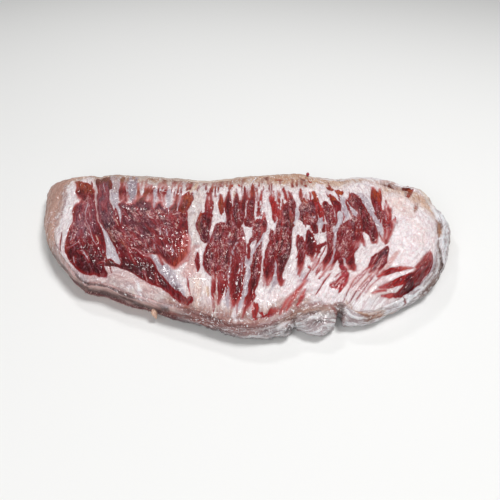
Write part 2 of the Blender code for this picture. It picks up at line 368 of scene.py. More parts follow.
@dataclass
class SlabForm:
    """Solid form of the slab, by the rules that the part's own solid follows, but finer."""

    face_height: float = 17.2
    crown: float = 0.9
    belly_height: float = 6.0
    foot_inset: float = 4.4
    shoulder: float = 14.0
    crease_depth: float = 0.8
    lip_groove: float = 1.3
    lip_end: float = -36.0
    lip_fade: float = 8.0
    lip_corner: float = -30.0
    undulation: float = 0.30
    crowding: float = 0.45
    coarse_cells: tuple[int, int] = (104, 30)
    cells: tuple[int, int] = (384, 186)
    flank_steps: tuple[int, ...] = (1, 2, 3, 3, 3, 3, 3)

    front_edge: Path = read_path("""
    -79.5 -36.5 11 1, -68 -38.5 10.8 1.8, -56 -44.5 10.8 2.2, -43 -49.8 11 1.4, -33 -54.2 11.4 1.4,
    -22 -58 11.8 1.2, -10 -63 12 .8, -2 -66.5 12 .6, 5 -67.6 12 .5, 12.5 -67.2 12 1,
    17.5 -64.5 12 3, 22 -61.5 12 5.4, 26 -59.8 12 1.8, 30.5 -57 12 9.6, 36 -53.6 12 13.6,
    43.5 -52 12 11.6, 47.2 -51.8 12 8.6, 49.8 -51.6 12 .6, 52.2 -52.2 12 7.2, 56 -55.2 11.6 5.2,
    62 -56.8 11.2 2.8, 69 -54.9 11 1.4, 77 -50.3 11 1.4, 84.5 -44.6 11.2 2.4, 93 -36.6 11.8 4.2
    """)
    right_edge: Path = read_path("""
    93 -36.6 11.8 4.2, 100.3 -28 12.8 4.8, 105 -17.5 13.6 6.4, 109 -6 14 7.8, 112.4 4.5 14 8.4,
    115 17 14 10, 114.8 28 14 8.4, 114.4 35 14 6, 115.2 42 14 5.2, 114 49.5 14.2 5.2
    """)
    back_edge: Path = read_path("""
    -114.5 56.5 13.6 14, -106 60.4 14.6 9, -97 62 15 7, -86 63.6 15.2 6.6, -69 62.9 15.2 6.6,
    -45 60.2 15 6.8, -25 58.2 14.4 6.6, -12 58.8 14.6 6.6, 4 61.8 15.2 6.6, 24 65.2 15.4 6.6,
    37 65 15.2 6.4, 48 61.4 15 6.6, 63 59.4 14.8 6.8, 78 61.8 15 6.4, 90 59.4 15 6, 98 57 15 4.4,
    102 50.9 14.8 3.6, 108 50 14.6 4.4, 114 49.5 14.2 5.2
    """)
    left_edge: Path = read_path("""
    -79.5 -36.5 11 1, -85.2 -31.4 12 .5, -93.5 -21.4 13.2 1, -99.2 -12.6 13.8 2.2, -104 -3 14 3.8,
    -107.2 10.8 14.4 7.6, -110.4 24.4 14.4 9.4, -112.6 40 14 11.2, -114.5 56.5 13.6 14
    """)
    flank_rows: Path = ((0.34, 0.05), (0.66, 0.24), (0.89, 0.55), (1.0, 1.0))
    lip_row: int = 2
    crease_row: Pair = (0.08, 0.01)
    lower_row: Pair = (0.28, 0.42)

    groove: Run = Run(-1.5, 2.6, read_path("""
    -94 62, -89.5 44, -84 26, -77 8, -69 -10, -62.5 -27
    """))
    groove_points: int = 40
    left_rise: float = 0.9
    rise_width: float = 5.0
    ridges: tuple[Run, ...] = Run.table("""
    .8 3: -84 60, -79 38, -71 16, -66 4; .7 2.4: -80 12, -74 -4, -66 -22; .9 4.2: -48 -20, -39 -31,
    -31 -42, -27 -51; .9 3.6: -26 46, -27.5 20, -27 2, -21 -11, -25 -28, -17 -46; .8 3: -14 34,
    -12.5 16, -15 2; .7 3: 2 5, 4 -7; .8 2.8: 13 38, 14 20, 17.5 5, 12.5 -12, 11 -28; .9 3: 34 20,
    34 4, 30 -14, 27 -34, 17 -52; .6 1.8: -4.5 -12, -5 -30, -5.5 -50; .7 2.2: 5 -24, 2.5 -40,
    -.5 -56; .7 3: 10.5 -44, 14.5 -60; .8 3: 46.5 14, 43 -5, 47 -17; .7 2.4: 61 24, 57 6, 51 -14;
    .9 3.4: 77 48, 77 28, 79.5 6; 1.1 8: 96 32, 95 8, 90 -12, 72 -30, 50 -42; -.7 3.4: 72 -47,
    86 -40, 96 -27, 102 -13; -.6 3.6: 38 -12, 44 14, 44 30; -.6 4: 56 -18, 63 0, 69 26;
    -.6 4.2: 21 -34, 25 2, 29 32; -.6 3.4: -8 -48, -7 -16, -4 26; -.6 5: -40 34, -44 8, -36 -20;
    1 5.5: -74 -36, -54 -41, -36 -50, -18 -56.5; -.9 1.6: 90 51, 96 47.6, 104 45.6, 110 47.4;
    1.3 2: 91 54.4, 97 51.2, 104 48.6, 110 50.4;
    """)
    wave_count: int = 7
    wave_seed: int = 41
    wave_lengths: Pair = (18.0, 46.0)
    raggedness: float = 0.35
    ragged_seed: int = 7
    ragged_reach: int = 1
    outward_reach: int = 3

    points: Array = field(init=False)
    faces: list = field(init=False)
    chart: Array = field(init=False)
    down: Array = field(init=False)
    lap: Array = field(init=False)

    def crowded(self, count: int) -> Array:
        """Give count + 1 shares from 0 to 1 that lie closer together near both ends."""
        share = np.linspace(0.0, 1.0, count + 1)
        return share - self.crowding * np.sin(2.0 * np.pi * share) / (2.0 * np.pi)

    def slow_waves(self, x: Array, y: Array) -> Array:
        """Sum a few long waves, so that no stretch of the face is quite flat.

        Args:
            x: Points' first coordinate.
            y: Points' second coordinate.

        Returns:
            The waves' height.
        """
        draw = np.random.default_rng(self.wave_seed)
        total = np.zeros_like(x)
        for _ in range(self.wave_count):
            turn = draw.uniform(0.0, np.pi)
            length = draw.uniform(*self.wave_lengths)
            phase = draw.uniform(0.0, 2.0 * np.pi)
            total += np.sin(2.0 * np.pi * (x * np.cos(turn) + y * np.sin(turn)) / length + phase)
        return self.undulation * total / np.sqrt(self.wave_count)

    def relief(self, x: Array, y: Array) -> Array:
        """Read the height of the muscles, the groove, the seams and the waves.

        Args:
            x: Points' first coordinate.
            y: Points' second coordinate.

        Returns:
            The height over the plain face.
        """
        groove = smooth_curve(self.groove.path, np.linspace(0.0, 1.0, self.groove_points))
        line = np.interp(y, groove[::-1, 1], groove[::-1, 0])
        relief = self.left_rise * (0.5 - 0.5 * np.tanh((x - line) / self.rise_width))
        relief += self.groove.fold(x, y, groove)
        for ridge in self.ridges:
            relief += ridge.fold(x, y)
        return relief + self.slow_waves(x, y)

    def cut_face(self, along: Array, across: Array) -> tuple[Array, Array]:
        """Stretch a grid between the four edges and give it its height.

        Args:
            along: Shares of the slab's length.
            across: Shares of its width.

        Returns:
            The grid's points, and the rim's reach in the order of the rim.
        """
        front, back = (smooth_curve(edge, along) for edge in (self.front_edge, self.back_edge))
        left, right = (smooth_curve(edge, across) for edge in (self.left_edge, self.right_edge))
        u, v = along[:, None], across[None, :]
        grid = []
        for axis in (0, 1):
            ruled = (1 - v) * front[:, None, axis] + v * back[:, None, axis]
            ruled = ruled + (1 - u) * left[None, :, axis] + u * right[None, :, axis]
            corners = (1 - u) * (1 - v) * front[0, axis] + u * (1 - v) * front[-1, axis]
            corners = corners + (1 - u) * v * back[0, axis] + u * v * back[-1, axis]
            grid.append(ruled - corners)
        x, y = grid
        span_along = np.linalg.norm(right[:, :2] - left[:, :2], axis=1)[None, :]
        span_across = np.linalg.norm(back[:, :2] - front[:, :2], axis=1)[:, None]
        droop = np.zeros_like(x)
        for edge_height, distance in (
            (front[:, None, 2], v * span_across), (back[:, None, 2], (1 - v) * span_across),
            (left[None, :, 2], u * span_along), (right[None, :, 2], (1 - u) * span_along),
        ):
            fall = np.clip(1.0 - distance / self.shoulder, 0.0, 1.0) ** 2
            droop += ((self.face_height - edge_height) * fall) ** 3
        crown = self.crown * (1.0 - (2.0 * u - 1.0) ** 4) * (1.0 - (2.0 * v - 1.0) ** 4)
        z = self.face_height + crown + self.relief(x, y) - np.cbrt(droop)
        reach = np.concatenate((front[:-1, 3], right[:-1, 3], back[:0:-1, 3], left[:0:-1, 3]))
        return np.stack((x, y, z), axis=-1), reach

    @staticmethod
    def rim_places(along: int, across: int) -> Array:
        """Give the grid's places round its rim, counter-clockwise seen from above.

        Args:
            along: Cells along the grid.
            across: Cells across it.

        Returns:
            One row of both numbers for each place.
        """
        loop = [(i, 0) for i in range(along)] + [(along, j) for j in range(across)]
        loop += [(i, across) for i in range(along, 0, -1)] + [(0, j) for j in range(across, 0, -1)]
        return np.array(loop)

    @staticmethod
    def round_mean(values: Array, reach: int) -> Array:
        """Smooth values that run round a closed loop.

        Args:
            values: The values, in order round the loop.
            reach: How many places the smoothing spans.

        Returns:
            The smoothed values.
        """
        steps = np.arange(-3 * reach, 3 * reach + 1)
        share = np.exp(-0.5 * (steps / reach) ** 2)
        total = sum(part * np.roll(values, step, axis=0) for part, step in zip(share, steps))
        return total / share.sum()

    def flank(self, rim: Array, reach: Array) -> tuple[Array, Array]:
        """Loft the coarse flank down from the rim of the face to the foot.

        Args:
            rim: The coarse rim's points.
            reach: How far the flank stands out beyond each of them.

        Returns:
            The rings, one after another from the rim down, and the outward directions.
        """
        tangent = np.roll(rim[:, :2], -1, axis=0) - np.roll(rim[:, :2], 1, axis=0)
        outward = np.column_stack((tangent[:, 1], -tangent[:, 0]))
        outward = outward / np.linalg.norm(outward, axis=1)[:, None]
        outward = self.round_mean(outward, self.outward_reach)
        outward /= np.linalg.norm(outward, axis=1)[:, None]
        draw = np.random.default_rng(self.ragged_seed)
        ragged = draw.normal(size=(len(rim), len(self.flank_rows) + 2))
        ragged = self.round_mean(ragged, self.ragged_reach) * self.raggedness
        drop = rim[:, 2] - self.belly_height

        def ring(out: Array, height: Array) -> Array:
            """Place one ring."""
            return np.column_stack((rim[:, :2] + outward * out[:, None], height))

        crease = rim[:, 2] - drop * self.crease_row[1] - self.crease_depth
        rings = [rim, ring(reach * self.crease_row[0], crease)]
        lip = np.clip((self.lip_end - rim[:, 0]) / self.lip_fade, 0.0, 1.0)
        lip = lip * (rim[:, 1] < self.lip_corner)
        for row, (share_out, share_down) in enumerate(self.flank_rows):
            pinch = self.lip_groove * lip * (row == self.lip_row)
            out = reach * share_out + ragged[:, row] * share_down - pinch
            rings.append(ring(out, rim[:, 2] - drop * share_down))
        inset, left = self.lower_row
        lower = np.full(len(rim), self.belly_height * left)
        rings.append(ring(reach - self.foot_inset * inset + ragged[:, -2], lower))
        rings.append(ring(reach - self.foot_inset + ragged[:, -1], np.zeros(len(rim))))
        return np.stack(rings), outward

    def build(self) -> "SlabForm":
        """Make the fine form.

        Returns:
            This form, with its points, faces, chart places and rows down the flank.
        """
        coarse_along, coarse_across = (self.crowded(count) for count in self.coarse_cells)
        coarse, coarse_reach = self.cut_face(coarse_along, coarse_across)
        places = self.rim_places(*self.coarse_cells)
        rings, outward = self.flank(coarse[places[:, 0], places[:, 1]], coarse_reach)
        spread = rings[1:, :, :2].reshape(-1, 2)
        centre = np.append((spread.min(axis=0) + spread.max(axis=0)) / 2.0, 0.0)

        along, across = (self.crowded(count) for count in self.cells)
        face, _ = self.cut_face(along, across)
        fine_places = self.rim_places(*self.cells)
        rim = face[fine_places[:, 0], fine_places[:, 1]]
        count_along, count_across = self.coarse_cells

        def step(fine: Array, rough: Array) -> Array:
            """Read fine shares as steps of the coarse ones."""
            return np.interp(fine, rough, np.arange(len(rough)))

        turn = np.concatenate((
            step(along[:-1], coarse_along),
            count_along + step(across[:-1], coarse_across),
            2 * count_along + count_across - step(along[:0:-1], coarse_along),
            2 * (count_along + count_across) - step(across[:0:-1], coarse_across),
        ))
        offsets = self.read_loop((rings - rings[0]).transpose(1, 0, 2), turn).transpose(1, 0, 2)
        outward = self.read_loop(outward, turn)
        fine_rings, shares = self.finer_rows(rim[None] + offsets)

        top = face.shape[0] * face.shape[1]
        self.points = np.vstack((face.reshape(-1, 3), fine_rings[1:].reshape(-1, 3))) - centre
        self.chart = self.points[:, :2].copy()
        belly = int(np.argmin(np.abs(shares - (len(rings) - 3))))
        for row in range(belly + 1, len(shares)):
            below = fine_rings[belly, :, 2] - fine_rings[row, :, 2]
            start = top + (row - 1) * len(rim)
            place = fine_rings[belly, :, :2] + outward * below[:, None] - centre[:2]
            self.chart[start:start + len(rim)] = place
        self.down = np.concatenate((np.zeros(top), np.repeat(shares[1:], len(rim))))
        flat_lap = np.column_stack((self.chart[:top], np.zeros(top)))
        self.lap = np.vstack((flat_lap, self.lap_places(fine_rings)))
        self.faces = self.join(fine_places, len(shares) - 1)
        return self

    def ring(self, share: float) -> Array:
        """Read the ring of points that lies a share down the flank, in order round the slab."""
        return self.points[np.isclose(self.down, share)]

    @staticmethod
    def lap_places(rings: Array) -> Array:
        """Give each flank point a place that runs round the slab on a circle, and its depth.

        Args:
            rings: The fine rings, from the rim down.

        Returns:
            The places, ring after ring, without the rim.
        """
        stride = np.linalg.norm(np.roll(rings[0], -1, axis=0) - rings[0], axis=1)
        length = np.concatenate(([0.0], np.cumsum(stride)[:-1]))
        turn = 2.0 * np.pi * length / stride.sum()
        radius = stride.sum() / (2.0 * np.pi)
        depth = np.cumsum(np.linalg.norm(np.diff(rings, axis=0), axis=2), axis=0)
        lap = np.empty(depth.shape + (3,))
        lap[..., 0], lap[..., 1], lap[..., 2] = radius * np.cos(turn), radius * np.sin(turn), depth
        return lap.reshape(-1, 3)

    @staticmethod
    def between(a: Array, b: Array, c: Array, d: Array,
                share: Array | float) -> Array:
        """Read a smooth curve between the middle two of four places.

        Args:
            a: The place before.
            b: Where the stretch starts.
            c: Where it ends.
            d: The place after.
            share: How far along the stretch, from 0 to 1.

        Returns:
            The point or points.
        """
        bend = 2 * a - 5 * b + 4 * c - d
        return 0.5 * (2 * b + share * (c - a + share * (bend + share * (3 * (b - c) + d - a))))

    def read_loop(self, values: Array, turn: Array) -> Array:
        """Read values of a closed loop between its places.

        Args:
            values: The values, in order round the loop.
            turn: Places to read, counted in steps round the loop.

        Returns:
            The values there, on a smooth curve.
        """
        first = np.floor(turn).astype(int)
        share = (turn - first).reshape((-1,) + (1,) * (values.ndim - 1))
        four = (values[(first + step) % len(values)] for step in (-1, 0, 1, 2))
        return self.between(*four, share)

    def finer_rows(self, rings: Array) -> tuple[Array, Array]:
        """Put more rings between the coarse ones, on a smooth profile below the crease.

        Args:
            rings: The coarse rings, from the rim down.

        Returns:
            The finer rings, and how many coarse rows down each of them lies.
        """
        rows, shares = [rings[0]], [0.0]
        last = len(rings) - 1
        for i, steps in enumerate(self.flank_steps):
            four = rings[max(i - 1, 0)], rings[i], rings[i + 1], rings[min(i + 2, last)]
            for step in range(1, steps + 1):
                t = step / steps
                straight = rings[i] + t * (rings[i + 1] - rings[i])
                rows.append(self.between(*four, t) if i > 1 else straight)
                shares.append(i + t)
        rows[-1][:, 2] = 0.0
        return np.stack(rows), np.array(shares)

    def join(self, places: Array, ring_count: int) -> list:
        """List the faces of the cut face, the flank and the underside.

        Args:
            places: The grid's places round its rim.
            ring_count: How many rings lie below the rim.

        Returns:
            The faces, as lists of point numbers.
        """
        count_along, count_across = self.cells
        row = count_across + 1
        i, j = np.meshgrid(np.arange(count_along), np.arange(count_across), indexing="ij")
        corner = (i * row + j).ravel()
        faces = np.column_stack((corner, corner + row, corner + row + 1, corner + 1)).tolist()
        upper = places[:, 0] * row + places[:, 1]
        start = (count_along + 1) * row
        for ring in range(ring_count):
            lower = start + ring * len(places) + np.arange(len(places))
            ahead = np.roll(upper, -1)
            faces += np.column_stack((upper, lower, np.roll(lower, -1), ahead)).tolist()
            upper = lower
        faces.append(upper[::-1].tolist())
        return faces


@dataclass
class MarbleMap:
    """Where lean, fat, dried margin and skin lie, point by point."""

    reach_limit: float = 4.0
    blend_width: float = 1.1
    lean_join: float = 0.4
    seam_join: float = 0.2

    muscles: tuple[Strand, ...] = Strand.table("""
    LEAN: -105 54, -100 50.5, -97 48.5, -93.5 45.5, -91.5 41.5, -89.5 37, -88 31, -86.5 25,
    -84.5 19, -82.5 13, -80.5 7, -78 1, -75.5 -5, -73.5 -10, -71.5 -16, -70 -22, -69.5 -28, -69 -32,
    -67.5 -36, -65.5 -38.8, -72 -37.3, -77.5 -36, -81 -34, -85 -30, -88.5 -26, -91 -22, -93.3 -18,
    -94.5 -12, -95 -5, -95.6 0, -95 6, -96.5 12, -98 18, -98.5 22, -97.5 25.5, -96.5 28, -99.5 33,
    -101.5 37, -102.5 42, -104 47, -105.5 51.5; PURPLE: -94.5 61.5, -93 55, -91 48.5, -89.3 43,
    -87.5 36, -86 29.5, -84 21, -82 15, -80.3 8, -77.5 1.5, -74.5 -3, -70 0, -67.5 3, -70 8,
    -72.5 14, -75.5 21, -78.5 28, -80 34, -81.5 40, -80.5 44, -82 50, -84.5 55, -86 62;
    LEAN: -70.5 30, -67.5 25, -64.5 27, -61.5 33, -58.5 35.5, -56.2 29, -54.5 33.5, -52.5 27,
    -50.5 23.5, -48 31, -45.5 24.5, -43 20.5, -40.5 24.5, -38 31, -36.3 25, -34.8 33.5, -32 35.5,
    -29 33, -28.7 25, -30 18, -29.8 10, -28.5 0, -27.8 -5, -26 -12, -25.4 -18, -25 -24, -25.2 -30,
    -28.5 -31.5, -30 -34, -31.5 -37, -34 -34, -37 -31, -39 -27.5, -42.5 -25, -46 -25.5, -43 -30,
    -40.5 -35, -38 -40.5, -35 -44.5, -32 -48, -29.5 -50, -27 -54, -24 -55.5, -20.5 -56.5, -21 -58.2,
    -25 -57, -28 -55.7, -30.5 -54, -33 -52, -35.5 -50, -38 -48.3, -41.5 -47, -44 -45.7, -47 -43.7,
    -50 -41.5, -53 -39, -56 -37.5, -59 -36, -61 -34.5, -64 -34, -67 -34, -69.5 -32, -68.5 -28.5,
    -66 -27.5, -63 -30.5, -60.5 -32, -61.3 -27.5, -63.3 -23, -65.7 -18, -69.6 -11.5, -73 -4, -74 0,
    -70 6, -72.5 14, -73 20; DEEP: -23 14, -19 15, -16 12, -15.5 5, -15.8 -2, -15.5 -9, -15 -14,
    -17.5 -15, -19 -13, -21 -10, -22.5 -5, -24 0, -24 8; LEAN: -12.5 4, -8 6, -5 4, -1 7, 1 3,
    2.5 0, 3 -5, 4 -12, 4.5 -20, 3 -28, -2.5 -30, -4 -36, -9 -41, -14.5 -41, -16 -38, -17.5 -30,
    -17 -20, -15.5 -12, -14 -6, -13.8 0; 8.4 4, 9.5 7.5, 12 9, 15 7, 16.3 2, 15.8 -3, 14 -7, 11 -10,
    8 -13, 6.5 -15.5, 7 -11, 8.5 -6, 8 -2; DEEP: 31 34, 33.5 29, 34.5 22, 33.5 14, 32.3 8, 32 2,
    31 -4, 29.5 -12, 28.5 -20, 27.3 -28, 24.5 -38, 23.8 -46, 22 -50, 20.8 -44, 20 -38, 20.8 -28,
    20.2 -18, 20 -12, 21.2 -4, 22 4, 24.5 11, 26.5 20, 29.5 28; 44 29, 47 30, 46.5 20, 46.2 12,
    45 5, 41 2.5, 37 3, 35.5 8, 36 14, 36 20, 38 25, 40 27; LEAN: 70 37, 73.5 34, 75 28, 75.6 21,
    76.3 13, 77.5 8, 77.8 0, 78 -6, 76.5 -12, 75 -16, 73.5 -12, 72 -6, 70.5 -3, 69.3 -8, 68.5 -18,
    66.5 -12, 65.8 -15, 65 -18, 62.5 -22, 61.5 -27, 61 -32, 60 -38.5, 57.5 -38, 56.5 -33, 57 -28,
    55.5 -25, 54.5 -30, 54 -24, 53.2 -17, 55.5 -6, 57 0, 61 5, 64 9, 67 12, 70.5 17, 69 21, 67 25,
    66.5 30, 68 34;
    """)
    bundles: tuple[Strand, ...] = Strand.table("""
    BRONZE: -76.6 61 .9, -75.6 52 1.2, -74.6 46 1; RUST: -75.4 51 .5, -74.4 44 1.3, -73.4 37 1.3,
    -71.6 29 1.2; DEEP: -73.5 48 .6, -71 37 1, -69 28 1.4; OCHRE: -65 50 .4, -62.5 36 .9,
    -61.5 29 1.3; BROWN: -58 47 .5, -58 40 1.1, -58 31 1.6; -54.5 44 .5, -53.5 35 1, -52.5 26 1.8;
    LEAN: -51.5 45 .3, -50 35 .5; BROWN: -48.8 46 .6, -49 36 .9, -48.5 32 .8; LEAN: -46.5 42 .4,
    -46.5 36 .9, -46.5 31 .5; BROWN: -38 36 .8, -38 28 1.6, -38.5 20 1.6; SIENNA: -31.5 39 .4,
    -32 35 1.7, -31.6 28 2.6, -33 18 2; LEAN: -19.7 38 .2, -19.3 29 .8, -18.9 20 1.2, -18.6 12 1.6;
    SIENNA: -23.2 21 .2, -23 16 .8, -23 8 1; LEAN: -17.7 39 .2, -16.8 30 .7, -16.1 22 1,
    -15.8 12 1.1; SIENNA: -11.5 36 .2, -10.9 28 1.3, -10.6 22 1.7, -10.3 17 1.1, -10.1 12 .3;
    DEEP: -6.9 39 .2, -6.4 31 1.5, -6.2 24 2, -6 18 1.8, -5.4 10 1.2, -5.4 3 1.8; -1.9 38 .2,
    -1.4 30 1.5, -1.2 23 2.2, -1.2 16 2.8, -.8 8 2.6, 0 0 1.8; LEAN: .8 28 .2, .8 20 .5;
    DEEP: 3.4 46 .2, 3.6 38 .8, 3.7 31 1.3, 3.3 24 1.5, 2.7 12 1.4, 1.6 4 1.2; SIENNA: 8.3 50 .2,
    8.5 40 1.1, 8.1 30 1.8; LEAN: 8.1 34 1.4, 7.4 25 2.2, 7 15 2, 6 3 2.4, 5.2 -1 .6; 11 35 .2,
    11.5 28 .4, 12.2 16 .5, 13.5 12 .7; 2.2 -16 2, 2.2 -20 2.3, .8 -30 3.2, .4 -45 3, -.2 -57 2.2,
    -1.5 -62.5 .4; -6.4 -36 2.6, -6.4 -42 2.5, -7.3 -52 1.6, -8.5 -60.5 .3; -10.6 -38 1,
    -10.5 -44 .7, -10.3 -61 .4; -21 -24 .5, -20.5 -31 1.2, -20 -35 1, -19.5 -39 .3; 5.8 -14 .4,
    6.2 -22 .9, 6.3 -30 .4; 12.2 -8 .8, 11.2 -20 1.8, 10.1 -33 2.6, 9 -46 3, 6.8 -57 2.2,
    3.5 -66 .5; 19.2 -2 .8, 18.6 -10 1.8, 17.8 -20 2.7, 16.8 -34 2.8, 15.9 -42 2, 15 -48 .3;
    BRIGHT: 9 -60 .6, 9.3 -63.5 1.5, 9.4 -66.5 .8; 12 -66 .5, 16 -64.5 .9, 20 -62.5 .4; 21 -63 .3,
    24 -58.5 .6, 27 -54 .4; 24.5 -61 .4, 29 -53 1.1, 34.5 -45 .5; 30 -58 .4, 32.5 -53 .8, 34 -50 .3;
    18.6 36 .3, 19.8 31 1, 21.5 20 1.7, 22 14 2.1, 20.6 6 .4; 27.8 43 .5, 28.5 35 .8, 29 29 .7;
    LEAN: 31 39 .4, 32.5 28 1.6, 31.5 22 3; SIENNA: 38.5 41 .4, 38 33 1.2, 40 26 1.6;
    ORANGE: 46.5 39 .9, 47 33 1.3, 47.3 28 1.2; BRIGHT: 47.3 28 1.2, 48.3 20 1.8, 48 11 .8;
    LEAN: 52.5 27 1.5, 53.3 15 2.8, 53.2 5 2.1, 53 2 1.2; 57.7 30 2, 59 25 2.6, 58.4 20 2.4,
    59.2 14.5 .4; ORANGE: 56 36 .7, 57.5 30 1.4; 56.5 44.5 1, 57.5 43 1.7, 58.3 41.5 .9;
    61.5 41 1.4, 62.8 38.8 2.2, 63.8 36.5 1.2; LEAN: 65.5 25 .4, 66.5 18 .9, 68 10 .8;
    BROWN: 77.7 16 .4, 77.5 11 .9, 77.3 7 .5; LEAN: 84.5 43 .9, 84.4 39 1.6, 84 32 3, 83 25 2.6,
    83 18 2.4, 81.8 9 1.6; ORANGE: 88.2 42 .4, 87 35 .9, 86 29 .7; LEAN: 89.5 22 .8, 89 19 2,
    87.2 15 2.8, 85.5 8 2.6, 85.7 3 3.4, 84.3 -3 2.2, 81.5 -11 1.5, 81.2 -15 .3; 34 -10 1.5,
    33.9 -15 2.2, 33.8 -22 2.3, 33.5 -28 1.9, 32.6 -34 1.6, 31.6 -39 .9, 31.8 -41.5 .2; 40 -3 1,
    39.8 -8 2, 39.5 -15 3, 38.8 -20 2.7, 38.9 -26 1.2, 39 -31 .3; 43 3 1.8, 43 -2 2, 43.2 -6 1.2;
    48.3 3 1.3, 48.4 -3 1.1, 48.2 -6 .5; 51.7 2 1.6, 51.5 -6 2, 50.5 -14 2, 49.5 -22 1.5,
    46.2 -30 1.5, 44 -37.5 .3; 50.5 -15 1.4, 46.5 -16.5 1.5, 43.5 -18 1; 43.2 -20 .8, 43.4 -22 .8;
    55 -18 1, 53 -24 1.2, 50 -31 .9, 47.5 -37 .3; 54 -26 1.2, 54.1 -36 1.3, 54.3 -42 1.6,
    52.5 -45.8 1.5, 49 -48.2 .8; CHERRY: 54.6 -33 .8, 54.3 -39 1.6, 53.6 -44 2.3, 50.6 -47.2 2.2,
    47.4 -47.6 1; BROWN: 79 -5 .4, 79.8 -13 .5; PURPLE: 80.4 -18.5 .4, 79 -21.5 1.5, 76.6 -25.5 2.5,
    74 -30 2.6, 71 -35 1.8, 67 -40 .3; LEAN: 73.4 -24 .3, 71.4 -29 1.4, 69 -33.5 1, 66.6 -37 .2;
    77.6 -28 .6, 75.4 -33 1.2, 73 -37 .8, 70.4 -41.5 .2; BRIGHT: 91 -34 .3, 86 -35.2 1.1,
    80.6 -36.8 1.6, 75 -39.8 1.2, 70.5 -43 .3; 91 -37.5 .8, 86.5 -41 1.7, 81 -44.2 1.5,
    76 -46.8 1.3, 70.5 -49.2 .4; ROSE: 74 -49.6 .2, 70.6 -50.6 .5, 66.5 -52.2 .2; 79 -49.8 .2,
    75.5 -51.4 .6, 71 -53 .2; DEEP: 105.6 -16 .4, 103.9 -22 1.8, 101 -28 3, 97.2 -33.4 3.1,
    93 -38 2.8, 88 -43 2.3, 83 -47.6 1.2, 78 -50.8 .4; BRIGHT: 104.4 -17 .2, 100.6 -23 .9,
    97 -28.4 1, 92.6 -33.6 .7; LEAN: 36.7 -35 .5, 37.2 -36 .5;
    """)
